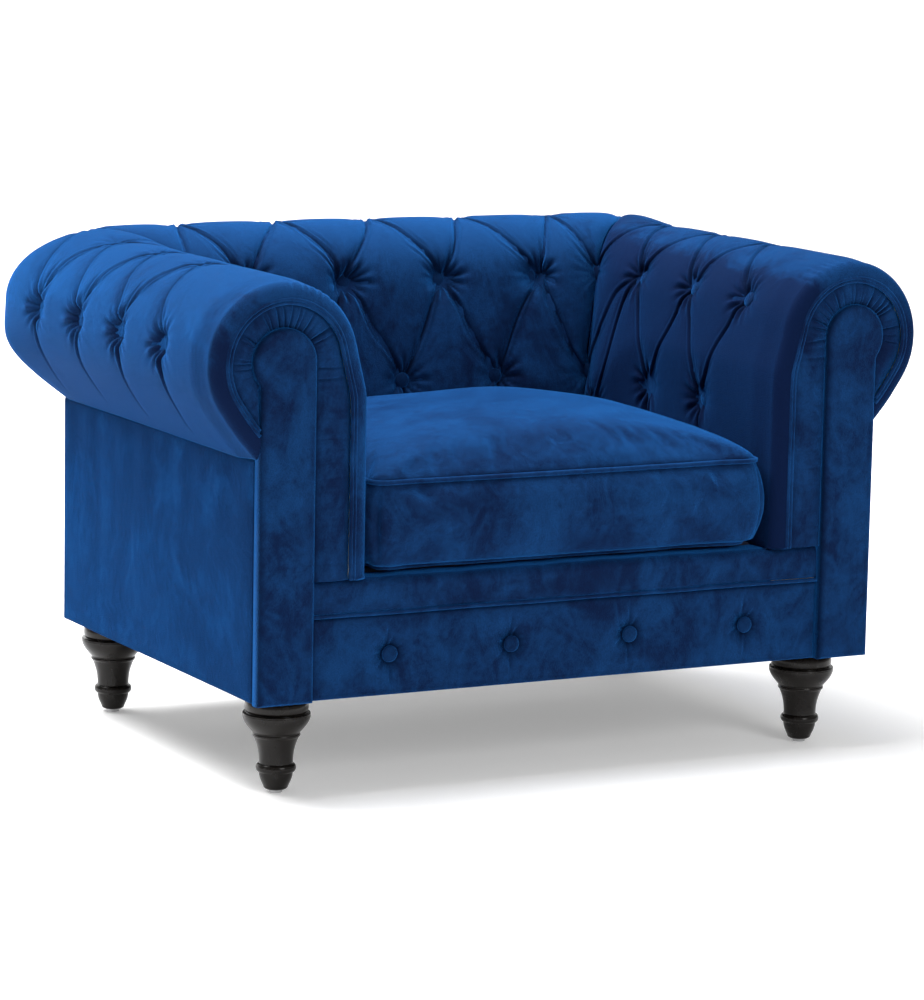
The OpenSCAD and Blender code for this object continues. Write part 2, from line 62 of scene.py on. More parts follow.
# ---------------------------------------------------------------- studio
# The chair stands on a pale seamless floor under one large soft light, with weak fills
# at the front and left. The camera looks down a little from the chair's front left.
view_azimuth, view_elevation, view_roll = (math.radians(a) for a in (-27.755, 9.124, 1.124))
camera_place = (-2.7406, -5.2524, 1.2798)
sensor_mm = 36.0
lens_mm = 149.02


def camera_matrix(place, azimuth, elevation, roll):
    """Turns a camera that looks along -back, with its right and up turned by roll about back."""
    right = np.array([math.cos(azimuth), math.sin(azimuth), 0.0])
    back = np.array([math.sin(azimuth) * math.cos(elevation), -math.cos(azimuth) * math.cos(elevation),
                     math.sin(elevation)])
    up = np.cross(back, right)
    turned_right = right * math.cos(roll) + up * math.sin(roll)
    turned_up = up * math.cos(roll) - right * math.sin(roll)
    matrix = np.eye(4)
    matrix[:3, 0], matrix[:3, 1], matrix[:3, 2], matrix[:3, 3] = turned_right, turned_up, back, place
    return Matrix(matrix.tolist())


camera_data = bpy.data.cameras.new("camera")
camera_data.lens = lens_mm
camera_data.sensor_width = sensor_mm
camera = bpy.data.objects.new("camera", camera_data)
bpy.context.scene.collection.objects.link(camera)
camera.matrix_world = camera_matrix(camera_place, view_azimuth, view_elevation, view_roll)
bpy.context.scene.camera = camera


def softbox(name, place, target, size, watts, tint=(1.0, 1.0, 1.0)):
    """A square area light at place, facing target."""
    data = bpy.data.lights.new(name, "AREA")
    data.shape, data.size, data.energy, data.color = "SQUARE", size, watts, tint
    light = bpy.data.objects.new(name, data)
    bpy.context.scene.collection.objects.link(light)
    direction = Vector(target) - Vector(place)
    light.location = place
    light.rotation_euler = direction.to_track_quat("-Z", "Y").to_euler()


softbox("key_light", (-0.7, 0.7, 3.2), (0.0, 0.0, 0.4), 2.6, 262)
softbox("front_light", (0.7, -4.5, 2.4), (0.0, 0.0, 0.4), 1.8, 72)
softbox("left_light", (-3.4, -0.2, 0.5), (0.0, 0.0, 0.35), 1.0, 5)
softbox("backdrop_light", (0.0, 2.6, 3.6), (0.0, 7.0, 1.0), 4.0, 420)

world = bpy.data.worlds.new("studio")
bpy.context.scene.world = world
world.use_nodes = True
world.node_tree.nodes["Background"].inputs["Color"].default_value = (1.0, 1.0, 1.0, 1.0)
world.node_tree.nodes["Background"].inputs["Strength"].default_value = 0.36
bpy.context.scene.view_settings.view_transform = "Standard"
bpy.context.scene.view_settings.look = "None"


def grid_quads(rows, columns, wrap_rows=False, wrap_columns=False):
    """Corner indices of a lattice's cells. A wrapped direction joins its last line to its first."""
    i = np.arange(rows if wrap_rows else rows - 1)[:, None]
    j = np.arange(columns if wrap_columns else columns - 1)[None, :]
    here, there = i * columns, (i + 1) % rows * columns
    after = (j + 1) % columns
    cells = np.broadcast_arrays(here + j, there + j, there + after, here + after)
    return np.stack(cells, -1).reshape(-1, 4)


def volume_of(points, quads, polygons):
    """Signed volume: a sixth of the sum of the triple products of each face's fan triangles."""
    total = 0.0
    for a, b, c in ((0, 1, 2), (0, 2, 3)):
        p, q, r = points[quads[:, a]], points[quads[:, b]], points[quads[:, c]]
        total += float(np.einsum("ij,ij->", p, np.cross(q, r)))
    for ring in polygons:
        ring_points = points[np.asarray(ring)]
        p = np.broadcast_to(ring_points[0], ring_points[1:-1].shape)
        total += float(np.einsum("ij,ij->", p, np.cross(ring_points[1:-1], ring_points[2:])))
    return total / 6


def make_piece(name, points, quads, polygons=(), marks=None):
    """A mesh object from point, quad and polygon arrays, faces outward; marks are named numbers per point."""
    points = np.asarray(points, float).reshape(-1, 3)
    quads = np.asarray(quads, int).reshape(-1, 4)
    rings = [np.asarray(ring, int) for ring in polygons]
    if volume_of(points, quads, rings) < 0:
        quads = quads[:, ::-1]
        rings = [ring[::-1] for ring in rings]
    loops = np.concatenate([quads.ravel()] + rings) if rings else quads.ravel()
    sizes = np.array([4] * len(quads) + [len(ring) for ring in rings])
    mesh = bpy.data.meshes.new(name)
    mesh.vertices.add(len(points))
    mesh.vertices.foreach_set("co", points.astype(np.float32).ravel())
    mesh.loops.add(len(loops))
    mesh.loops.foreach_set("vertex_index", loops.astype(np.int32))
    mesh.polygons.add(len(sizes))
    mesh.polygons.foreach_set("loop_start", (np.cumsum(sizes) - sizes).astype(np.int32))
    mesh.polygons.foreach_set("use_smooth", np.ones(len(sizes), bool))
    mesh.update(calc_edges=True)
    for mark, values in (marks or {}).items():
        attribute = mesh.attributes.new(mark, "FLOAT", "POINT")
        attribute.data.foreach_set("value", np.asarray(values, np.float32).ravel())
    thing = bpy.data.objects.new(name, mesh)
    bpy.context.scene.collection.objects.link(thing)
    return thing


# The floor is one wide sheet that curves up far behind the chair.
def studio_floor():
    """Flat to y = 6 m, then a quarter circle of radius 2 m, then straight up."""
    t = np.linspace(0, 1, 60)
    bend = np.clip((t - 0.5) / 0.3, 0, 1) * math.pi / 2
    y = np.where(t < 0.5, -9 + 30 * t, 6 + 2 * np.sin(bend))
    z = 2 * (1 - np.cos(bend)) + np.clip(t - 0.8, 0, 1) * 20
    x = np.linspace(-12, 12, 3)
    points = np.stack(np.broadcast_arrays(x[None, :], y[:, None], z[:, None]), -1)
    return make_piece("floor", points, grid_quads(60, 3))


floor = studio_floor()


class Value:
    """A number that comes out of a shader node, so that sums of masks are written as sums."""

    def __init__(self, finish, socket):
        self.finish, self.socket = finish, socket

    def _math(self, operation, first, second):
        return self.finish.node("ShaderNodeMath", {"operation": operation}, {0: first, 1: second})

    def __add__(self, other): return self._math("ADD", self, other)
    def __radd__(self, other): return self._math("ADD", other, self)
    def __sub__(self, other): return self._math("SUBTRACT", self, other)
    def __rsub__(self, other): return self._math("SUBTRACT", other, self)
    def __mul__(self, other): return self._math("MULTIPLY", self, other)
    def __rmul__(self, other): return self._math("MULTIPLY", other, self)


class Finish:
    """A material built round one Principled shader; fixed names the sockets that hold plain numbers."""

    def __init__(self, name, fixed):
        self.material = bpy.data.materials.new(name)
        self.material.use_nodes = True
        self.tree = self.material.node_tree
        self.shader = self.tree.nodes["Principled BSDF"]
        for socket, number in fixed.items():
            self.shader.inputs[socket].default_value = number

    def node(self, kind, settings=None, inputs=None, out=0):
        """Adds one node: its settings first, then the numbers or links of its sockets."""
        made = self.tree.nodes.new(kind)
        for key, setting in (settings or {}).items():
            if key == "stops":
                for element, (position, colour) in zip(made.color_ramp.elements, setting):
                    element.position, element.color = position, (*colour, 1.0)
            else:
                setattr(made, key, setting)
        for key, given in (inputs or {}).items():
            if isinstance(given, Value):
                self.tree.links.new(given.socket, made.inputs[key])
            else:
                made.inputs[key].default_value = given
        return Value(self, made.outputs[out])

    def place(self, stretch=(1.0, 1.0, 1.0)):
        """Object coordinates in metres, stretched along each axis."""
        coordinates = self.node("ShaderNodeTexCoord", out="Object")
        return self.node("ShaderNodeMapping", None, {"Vector": coordinates, "Scale": stretch})

    def noise(self, scale, detail=2.0, rough=0.5, twist=0.0, stretch=(1.0, 1.0, 1.0)):
        return self.node("ShaderNodeTexNoise", None, {
            "Vector": self.place(stretch), "Scale": scale, "Detail": detail, "Roughness": rough,
            "Distortion": twist}, "Fac")

    def between(self, mask, low, high):
        """0 below low, 1 above high, smooth between."""
        return self.node("ShaderNodeMapRange", {"interpolation_type": "SMOOTHSTEP"},
                         {"Value": mask, "From Min": low, "From Max": high})

    def blend(self, mask, first, second, mode="MIX"):
        """Colour mix; first and second are colours or links."""
        made = self.tree.nodes.new("ShaderNodeMix")
        made.data_type, made.blend_type = "RGBA", mode
        for index, given in ((0, mask), (6, first), (7, second)):
            if isinstance(given, Value):
                self.tree.links.new(given.socket, made.inputs[index])
            else:
                made.inputs[index].default_value = given if index == 0 else (*given, 1.0)
        return Value(self, made.outputs[2])

    def feed(self, socket, given):
        self.tree.links.new(given.socket, self.shader.inputs[socket])

    def bump(self, height, depth_m, strength=1.0):
        """Height from 0 to 1 stands for depth_m of relief."""
        self.feed("Normal", self.node("ShaderNodeBump", None, {
            "Height": height, "Distance": depth_m, "Strength": strength}))


def paint(thing, finish):
    thing.data.materials.clear()
    thing.data.materials.append(finish.material)


# The paper is given a weak even glow of its own, painted light that lifts the shadow under the chair.
floor_finish = Finish("floor_paper", {
    "Roughness": 0.9, "Specular IOR Level": 0.1,
    "Emission Color": (1.0, 1.0, 1.0, 1.0), "Emission Strength": 0.22})
floor_finish.feed("Base Color", floor_finish.blend(
    floor_finish.noise(0.8), (0.93, 0.93, 0.93), (0.95, 0.95, 0.95)))
paint(floor, floor_finish)

# ---------------------------------------------------------------- legs
# Four turned beech legs, stained near black and lacquered to a gloss: a tapered foot, a ring,
# a waist, a bell and a bead under the seat rail. A steel glide is nailed under each.
mm = 0.001


def leg_outline():
    """Radius and height of the turning in metres: round stretches are sines and cosines of an even angle."""
    turn = lambda first, last, count: np.radians(np.linspace(first, last, count))
    foot = turn(0, 90, 10)
    taper = np.linspace(0, 1, 10)
    ring = turn(-90, 90, 18)
    waist = np.linspace(0, 1, 24)
    bell = np.linspace(0, 1, 26)
    lip = turn(60, 175, 8)
    bead = turn(-88, 88, 22)
    parts = [
        np.stack([[0.01, 9.0], [3.8, 3.8]], 1),
        np.stack([10 + 7 * np.sin(foot), 4 + 5 * (1 - np.cos(foot))], 1),
        np.stack([17.2 + 5.8 * np.sin(taper * math.pi / 2), 9.4 + taper * 18.4], 1),
        np.stack([23 + 4.4 * np.cos(ring), 34.5 + 6 * np.sin(ring)], 1),
        np.stack([23 + 8 * waist ** 2.2, 41.2 + waist * 36.4], 1),
        np.stack([[32.3, 32.7, 32.7, 32.2], [78.4, 79.0, 81.0, 81.8]], 1),
        np.stack([31.6 + 14.8 * np.sin(bell * math.pi / 2), 82.6 + bell * 25.6], 1),
        np.stack([44.9 + 1.5 * np.sin(lip), 109.2 - 1.5 * np.cos(lip)], 1),
        np.stack([39.5 + 4 * np.cos(bead), 119.5 + 9 * np.sin(bead)], 1),
        np.stack([[36.5, 36.0, 0.01], [130.0, 136.6, 136.8]], 1),
    ]
    return np.concatenate(parts) * mm


def turned(name, outline, centre, steps=72):
    """A lathe form: each outline point goes once round the upright axis through centre; poles are closed."""
    angle = np.linspace(0, 2 * math.pi, steps, endpoint=False)
    points = np.stack([
        centre[0] + outline[:, :1] * np.cos(angle), centre[1] + outline[:, :1] * np.sin(angle),
        np.broadcast_to(outline[:, 1:], (len(outline), steps))], -1)
    last = (len(outline) - 1) * steps
    caps = [np.arange(steps), last + np.arange(steps)[::-1]]
    return make_piece(name, points, grid_quads(len(outline), steps, wrap_columns=True), caps)


lacquer = Finish("black_lacquer", {
    "Roughness": 0.3, "Coat Roughness": 0.1, "Specular IOR Level": 0.12})
grain = lacquer.noise(60, 5, 0.6, 1.5, (1.0, 1.0, 0.12))
wear = lacquer.between(lacquer.noise(35, 4, 0.6), 0.55, 0.75)
lacquer.feed("Base Color", lacquer.blend(grain, (0.003, 0.0025, 0.002), (0.010, 0.008, 0.007)))
lacquer.feed("Roughness", 0.22 + wear * 0.16 + grain * 0.06)
lacquer.feed("Coat Weight", 0.17 - wear * 0.10)
lacquer.bump(grain + lacquer.noise(400, 2) * 0.3, 0.00012)

for corner in ("front_left", "front_right", "rear_left", "rear_right"):
    low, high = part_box("leg_" + corner)
    leg = turned("turned_leg_" + corner, leg_outline(), ((low.x + high.x) / 2, (low.y + high.y) / 2))
    paint(leg, lacquer)
    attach(leg, "chair")
    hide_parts("leg_" + corner)

glide_steel = Finish("glide_steel", {"Metallic": 1.0, "Roughness": 0.25})
scuffs = glide_steel.noise(900, 3, 0.6, 0.0, (1.0, 0.2, 1.0))
glide_steel.feed("Base Color", glide_steel.blend(scuffs, (0.42, 0.42, 0.43), (0.62, 0.62, 0.63)))
glide_steel.feed("Roughness", 0.22 + scuffs * 0.3)
glide_steel.bump(scuffs, 0.00005)
paint(frame["nodes"]["leg_glides"], glide_steel)

# ---------------------------------------------------------------- timber, springs and linings
# The inside of the chair: planed birch rails, posts, planks and ply ribs, zinc-plated steel,
# a felt pad, grey card liners and the black cloth stapled under the seat. They stay as built.
timber = Finish("planed_birch", {"Roughness": 0.7})
rings = timber.noise(14, 6, 0.65, 2.5, (1.0, 0.15, 1.0))
pores = timber.noise(420, 2, 0.5, 0.0, (1.0, 0.08, 1.0))
timber.feed("Base Color", timber.blend(rings, (0.52, 0.35, 0.19), (0.72, 0.55, 0.34)))
timber.feed("Roughness", 0.58 + pores * 0.25)
timber.bump(rings * 0.6 + pores * 0.4, 0.0004)

zinc = Finish("zinc_steel", {"Metallic": 1.0, "Roughness": 0.35})
bloom = zinc.noise(220, 4, 0.7)
zinc.feed("Base Color", zinc.blend(bloom, (0.40, 0.41, 0.43), (0.66, 0.67, 0.68)))
zinc.feed("Roughness", 0.25 + bloom * 0.3)
zinc.bump(bloom, 0.00006)

felt = Finish("needled_felt", {"Roughness": 0.95, "Sheen Weight": 0.3, "Sheen Roughness": 0.6})
fibres = felt.noise(700, 5, 0.75, 2.0)
felt.feed("Base Color", felt.blend(fibres, (0.10, 0.095, 0.09), (0.30, 0.28, 0.26)))
felt.bump(fibres, 0.0006)

card = Finish("liner_card", {"Roughness": 0.85})
pulp = card.noise(260, 4, 0.6)
card.feed("Base Color", card.blend(pulp, (0.33, 0.24, 0.14), (0.46, 0.35, 0.22)))
card.bump(pulp, 0.0002)

dust_cloth = Finish("spun_bonded_cloth", {"Roughness": 0.9, "Sheen Weight": 0.15})
web = dust_cloth.noise(1200, 3, 0.7, 1.0)
dimples = dust_cloth.node("ShaderNodeTexVoronoi", None, {"Vector": dust_cloth.place(), "Scale": 420.0})
dust_cloth.feed("Base Color", dust_cloth.blend(web, (0.008, 0.008, 0.008), (0.03, 0.03, 0.03)))
dust_cloth.feed("Roughness", 0.8 + web * 0.15)
dust_cloth.bump(dimples, 0.0003)

foam_finish = Finish("upholstery_foam", {"Roughness": 0.95})
cells = foam_finish.node("ShaderNodeTexVoronoi", None, {"Vector": foam_finish.place(), "Scale": 900.0})
foam_finish.feed("Base Color", foam_finish.blend(
    foam_finish.noise(9, 3), (0.84, 0.78, 0.58), (0.90, 0.86, 0.70)))
foam_finish.bump(cells, 0.0006)

inside_finishes = {"frame_timber": timber, "steel": zinc, "felt": felt, "liner_card": card,
                   "dust_cloth": dust_cloth}
for row in frame["record"]["subparts"]:
    if row["material_slot"] in inside_finishes:
        paint(frame["nodes"][row["node"]], inside_finishes[row["material_slot"]])

# ---------------------------------------------------------------- velvet
# Cut-pile velvet in royal blue: dark straight on, bright where the pile is seen from the side,
# with patches where hands have brushed the pile. Painted shade darkens its folds, seams and pits;
# painted light brightens the tops of the rolls, and painted shade darkens their sides.
pile_dark = (0.0028, 0.0065, 0.028)
pile_mid = (0.0044, 0.0170, 0.066)
pile_light = (0.0085, 0.0560, 0.184)


def velvet_finish(name, painted_shade_bias=0.0, sheen=0.75, gloss=0.018):
    """Velvet whose random pile noise is shifted by painted_shade_bias, painted shade for a whole piece. The mark
    'fold_shade' is 1 in a pleat and 0 on open cloth and darkens the colour there as painted shade; the mark
    'nap_and_painted_light' is above 0 where light is painted on and below 0 where shade is painted on."""
    cloth = Finish(name, {
        "Sheen Weight": sheen, "Sheen Roughness": 0.36, "Sheen Tint": (0.03, 0.30, 1.0, 1.0),
        "Specular IOR Level": gloss})
    brushed = cloth.noise(5.5, 4, 0.55, 1.8)
    smears = cloth.noise(21, 4, 0.6, 2.4, (1.0, 1.0, 0.6))
    specks = cloth.noise(120, 3, 0.6, 0.5)
    grain = cloth.between(cloth.noise(620, 4, 0.7), 0.35, 0.65)
    fold_shade = cloth.node("ShaderNodeAttribute", {"attribute_name": "fold_shade"}, out="Fac")
    # painted light: this mark lightens the tops of the rolls and darkens their sides as painted shade
    lean = cloth.node("ShaderNodeAttribute", {"attribute_name": "nap_and_painted_light"}, out="Fac")
    nap_and_painted_light = brushed * 0.52 + smears * 0.33 + specks * 0.15 + lean + painted_shade_bias
    lie_and_painted_light = cloth.between(nap_and_painted_light, 0.36, 0.64)
    colour = cloth.blend(lie_and_painted_light, pile_dark, pile_light)
    colour = cloth.blend(0.35, colour, pile_mid)
    # painted shade: folds, seams and pits are darkened towards a near-black blue
    colour = cloth.blend(fold_shade * 0.85, colour, (0.0004, 0.0022, 0.010))
    colour = cloth.blend(grain * 0.42, colour, pile_dark)
    cloth.feed("Base Color", colour)
    cloth.feed("Roughness", 0.72 + lie_and_painted_light * 0.16 - fold_shade * 0.08)
    cloth.bump(grain * 0.25 + specks * 0.35 + smears * 0.4, 0.0011)
    return cloth


velvet = velvet_finish("royal_blue_velvet")
# a shaded copy for the outside panels: darker colour, less sheen and less gloss, as painted shade
shaded_side_velvet = velvet_finish("royal_blue_velvet_shaded_outside", -0.06, 0.50, 0.004)
# a shaded copy for the right arm's cover: less sheen and less gloss, as painted shade
shaded_velvet = velvet_finish("royal_blue_velvet_shaded_right_arm", 0.0, 0.26, 0.010)

# ---------------------------------------------------------------- back and arm covers
# One deep-buttoned velvet cover on the back and one on each arm, over foam. Buttons are pulled
# through to the frame and the spare cloth is folded into pleats between them; the three covers
# meet in mitred valleys at the rear corners.
overall_half = cad_box[1][0]
depth_half = cad_box[1][1]
leg_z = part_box("arm_panel_right")[0].z
seat_half = 0.316
panel_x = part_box("arm_panel_right")[1].x
front_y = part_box("facing_panel_right")[0].y
rear_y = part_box("back_panel")[1].y
seam_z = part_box("arm_panel_right")[1].z + 0.0003
pad_foot_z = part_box("back_cover")[0].z + 0.002
roll_radius = 0.110
arm_centre = np.array([overall_half - roll_radius, leg_z + 0.456])
back_centre = np.array([depth_half - roll_radius, leg_z + 0.466])
back_face_y = 0.140
mitre_a = np.array([0.309, 0.151])
mitre_slope = (depth_half - mitre_a[1]) / (overall_half - mitre_a[0])
mitre_gap = 0.0002
foam_gap = 0.005
tuft_step = 0.1545


def mitre_y(x):
    return mitre_a[1] + (x - mitre_a[0]) * mitre_slope


def mitre_x(y):
    return mitre_a[0] + (y - mitre_a[1]) / mitre_slope


def smooth(t):
    """0 to 1 with level ends."""
    t = np.clip(t, 0, 1)
    return t * t * (3 - 2 * t)


def padded_section(face, lean_top, centre, foot):
    """Outline of a roll and its inside face, across then up: a straight face, a lean to the circle's side,
    the circle over the top, and a straight slope in to the seam from where a line to the seam touches the
    circle. Smoothed by a running mean."""
    seam = np.array([foot, seam_z + 0.0006])
    away = seam - centre
    drop = -(math.atan2(away[1], away[0]) + math.acos(roll_radius / math.hypot(*away)))
    face_part = np.stack([np.full(70, face), np.linspace(pad_foot_z, lean_top, 70, endpoint=False)], 1)
    start = math.radians(172)
    touch = centre + roll_radius * np.array([math.cos(start), math.sin(start)])
    lean = np.linspace([face, lean_top], touch, 30, endpoint=False)
    turn = np.linspace(start, -drop, 160, endpoint=False)
    roll = centre + roll_radius * np.stack([np.cos(turn), np.sin(turn)], 1)
    end = centre + roll_radius * np.array([math.cos(drop), -math.sin(drop)])
    tail = np.linspace(end, seam, 40)
    across = np.array([away[1], -away[0]]) / math.hypot(*away)
    tail -= 0.0035 * np.sin(np.linspace(0, math.pi, 40))[:, None] * across
    outline = np.concatenate([face_part, lean, roll, tail])
    kernel = np.hanning(19)[1:-1]
    kernel /= kernel.sum()
    reach = len(kernel) // 2
    before = 2 * outline[:1] - outline[reach:0:-1]
    after = 2 * outline[-1:] - outline[-2:-reach - 2:-1]
    padded = np.concatenate([before, outline, after])
    return np.stack([np.convolve(padded[:, k], kernel, "valid") for k in (0, 1)], 1)


def outward(outline):
    """Unit normals of a section, to the left of its travel, which is the sitter's side first."""
    tangent = np.gradient(outline, axis=0)
    tangent /= np.linalg.norm(tangent, axis=1)[:, None]
    return np.stack([-tangent[:, 1], tangent[:, 0]], 1)


def girth(outline):
    """Distance round the section from its foot."""
    return np.concatenate([[0.0], np.cumsum(np.linalg.norm(np.diff(outline, axis=0), axis=1))])


def nearest(outline, point):
    return int(np.argmin(np.linalg.norm(outline - np.asarray(point), axis=1)))


arm_section = padded_section(seat_half, arm_centre[1] - 0.045, arm_centre, panel_x + 0.0016)
back_section = padded_section(back_face_y, back_centre[1] - 0.125, back_centre, rear_y + 0.0016)
arm_girth, back_girth = girth(arm_section), girth(back_section)

# Under the rolls the mitre bends outwards, so that both covers end at the corner of the outside panels.
below_roll = smooth((back_centre[1] - back_section[:, 1]) / 0.09) * (back_section[:, 0] > back_centre[0])
corner_shift = (panel_x + 0.0016 - mitre_x(rear_y + 0.0016)) * below_roll
# On the outside of the rolls the padding is drawn in harder towards the mitre.
drawn_corner = 0.013 * smooth((back_section[:, 0] - back_centre[0]) / 0.07) * (1 - below_roll)


def tuft_relief(along, round_, buttons, pleats, seed):
    """Height of the cloth above the padding's outline, and how much painted shade its folds get.
    Each pleat is a V valley that dies away sideways as exp(-d/w) with a thin crease at its bottom and a
    raised lip on one side. Each button is a pit exp(-(r/a)^1.25) with fine rays round it. Valleys and pits
    meet in a soft maximum."""
    phase = np.random.default_rng(seed).uniform(0, 2 * math.pi, 64)
    warp_a = (0.0026 * np.sin(23 * round_ + 9 * along + phase[0])
              + 0.0014 * np.sin(61 * round_ - 31 * along + phase[1]))
    warp_b = (0.0022 * np.sin(19 * along + 7 * round_ + phase[2])
              + 0.0012 * np.sin(57 * along + 29 * round_ + phase[3]))
    a, b = along + warp_a, round_ + warp_b
    valley = np.zeros_like(a)
    crease = np.zeros_like(a)
    lip = np.zeros_like(a)
    for start, end, deep_start, deep_end, deep_mid, width in pleats:
        step = np.subtract(end, start)
        length = math.hypot(*step)
        t = np.clip(((a - start[0]) * step[0] + (b - start[1]) * step[1]) / length ** 2, 0, 1)
        across = ((a - start[0]) * step[1] - (b - start[1]) * step[0]) / length
        gap = np.hypot(a - start[0] - t * step[0], b - start[1] - t * step[1])
        deep = deep_mid + (deep_start - deep_mid) * (1 - t) ** 3 + (deep_end - deep_mid) * t ** 3
        valley = np.maximum(valley, deep * np.exp(-gap / width))
        line = 0.0036 * (0.60 + 0.40 * np.abs(2 * t - 1) ** 1.5) * np.clip(deep / 0.0044, 0, 1) ** 1.4
        crease = np.maximum(crease, line * np.exp(-(gap / 0.0024) ** 2))
        lip = np.maximum(lip, 0.9 * line * np.exp(-((across - 0.0052) / 0.0028) ** 2 - (gap / 0.012) ** 4))
    pit = np.zeros_like(a)
    rays = np.zeros_like(a)
    for index, (place_a, place_b, deep, reach) in enumerate(buttons):
        r = np.hypot(along - place_a, round_ - place_b)
        pit = np.maximum(pit, deep * np.exp(-(np.clip(r - 0.008, 0, 1) / reach) ** 1.25))
        angle = np.arctan2(round_ - place_b, along - place_a)
        spokes = (np.cos(13 * angle + phase[index % 60 + 4])
                  + 0.6 * np.cos(8 * angle + phase[(index * 7) % 60 + 4]))
        one_side = 1 + 0.6 * np.cos(angle)
        rays += 0.0013 * min(1.0, deep / 0.014) * spokes * one_side * np.exp(-((r - 0.024) / 0.015) ** 2)
    swell = 0.0026 + 0.0010 * np.sin(7 * along + phase[5]) * np.sin(9 * round_ + phase[6])
    sharp = 900.0
    sunk = np.log(np.exp(sharp * valley) + np.exp(sharp * pit) - 1) / sharp
    height = swell - sunk - crease + lip + rays
    # painted shade: darker in deep pits and valleys, along the creases and between the rays
    shade = 0.8 * np.clip(sunk / 0.02, 0, 1) ** 1.5
    fold_shade = np.clip(crease / 0.0021 + shade + np.clip(-rays / 0.002, 0, 0.6), 0, 1)
    return height, fold_shade


def pleat_fan(start, end, spread):
    """Side folds that leave a button beside a main pleat and run out part way along it."""
    step = np.subtract(end, start)
    cross = np.array([-step[1], step[0]]) / math.hypot(*step)
    return [(tuple(start), tuple(np.add(start, step * share) + cross * sideways), 0.005, 0.0, 0.0028, 0.004)
            for sideways, share in spread]


heavy_fan = ((0.011, 0.80), (-0.010, 0.66), (0.022, 0.50))
light_fan = ((0.010, 0.45),)


def diamonds(top, low, deep_top, deep_low, deep_mid, width, bunched=True):
    """Pleats that join each low button to the two top ones beside it. Bunched cloth was pulled harder
    along one diagonal, so those pleats bring more side folds with them."""
    found = []
    for place in low:
        near = sorted(top, key=lambda other: abs(other[0] - place[0]))[:2]
        for other in near:
            if abs(other[0] - place[0]) < 0.75 * tuft_step:
                pulled = heavy_fan if bunched and other[0] < place[0] else light_fan
                found.append((place, other, deep_low, deep_top, deep_mid, width))
                found += pleat_fan(place, other, pulled) + pleat_fan(other, place, pulled[:2])
    return found


def closed_shell(outer, inner, every):
    """Points and faces of a shell: outer is a fine lattice; the inner wall uses each every-th point of inner,
    and shares the outer lattice's edge points, so the shell closes along its rim."""
    rows, columns = outer.shape[:2]
    quads = grid_quads(rows, columns)
    pick_r = np.unique(np.append(np.arange(0, rows, every), rows - 1))
    pick_c = np.unique(np.append(np.arange(0, columns, every), columns - 1))
    inside = inner[np.ix_(pick_r[1:-1], pick_c[1:-1])].reshape(-1, 3)
    first = rows * columns

    def corner(i, j):
        r, c = pick_r[i], pick_c[j]
        if i in (0, len(pick_r) - 1) or j in (0, len(pick_c) - 1):
            return [r * columns + c]
        return [first + (i - 1) * (len(pick_c) - 2) + j - 1]

    rings = []
    for i in range(len(pick_r) - 1):
        for j in range(len(pick_c) - 1):
            r0, r1, c0, c1 = pick_r[i], pick_r[i + 1], pick_c[j], pick_c[j + 1]
            ring = corner(i, j)
            if i == 0:
                ring += list(r0 * columns + np.arange(c0 + 1, c1))
            ring += corner(i, j + 1)
            if j == len(pick_c) - 2:
                ring += list(np.arange(r0 + 1, r1) * columns + c1)
            ring += corner(i + 1, j + 1)
            if i == len(pick_r) - 2:
                ring += list(r1 * columns + np.arange(c1 - 1, c0, -1))
            ring += corner(i + 1, j)
            if j == 0:
                ring += list(np.arange(r1 - 1, r0, -1) * columns + c0)
            rings.append(ring)
    return np.concatenate([outer.reshape(-1, 3), inside]), quads, rings


def shell_piece(name, outer, inner, every, fold_shade=None, nap_and_painted_light=None):
    points, quads, rings = closed_shell(outer, inner, every)
    marks = {mark: np.concatenate([values.ravel(), np.zeros(len(points) - values.size)])
             for mark, values in (("fold_shade", fold_shade), ("nap_and_painted_light", nap_and_painted_light)) if values is not None}
    return make_piece(name, points, quads, rings, marks)


# Rows of tufts: C at the foot of the face, B on the shoulder, T tucks on the top, O on the outside.
def on_roll(centre, degrees, sitter_side):
    angle = math.radians(degrees)
    return centre + roll_radius * np.array([-sitter_side * math.cos(angle), math.sin(angle)])


button_level = leg_z + 0.350
back_line = {"C": nearest(back_section, (back_face_y, button_level)),
             "B": nearest(back_section, on_roll(back_centre, 17, 1)),
             "T": nearest(back_section, on_roll(back_centre, 86, -1)),
             "O": nearest(back_section, on_roll(back_centre, 8, -1))}
arm_line = {"C": nearest(arm_section, (seat_half, button_level)),
            "B": nearest(arm_section, on_roll(arm_centre, 27, 1)),
            "T": nearest(arm_section, on_roll(arm_centre, 82, -1)),
            "O": nearest(arm_section, on_roll(arm_centre, 8, -1))}
arm_step = tuft_step - 0.0065
back_across = {"C": (-1, 0, 1), "B": (-1.5, -0.5, 0.5, 1.5),
               "T": (-2, -1, 0, 1, 2), "O": (-1.5, -0.5, 0.5, 1.5)}
arm_first = {"C": (0.125, 3), "B": (0.052, 3), "T": (0.154, 3), "O": (0.229, 4)}
back_rows = {key: [(x * tuft_step, back_girth[i]) for x in back_across[key]] for key, i in back_line.items()}
arm_rows = {key: [(arm_first[key][0] - n * arm_step, arm_girth[i]) for n in range(arm_first[key][1])]
            for key, i in arm_line.items()}
corner_rows = {key: [(sign * mitre_x(back_section[back_line[key], 0]), back_girth[back_line[key]])
                     for sign in (-1, 1)] for key in "CBT"}
arm_corner_rows = {key: [(mitre_y(arm_section[back_line[key], 0]), arm_girth[back_line[key]])]
                   for key in "CBT"}
back_all = {key: row + corner_rows.get(key, []) for key, row in back_rows.items()}
arm_all = {key: row + arm_corner_rows.get(key, []) for key, row in arm_rows.items()}

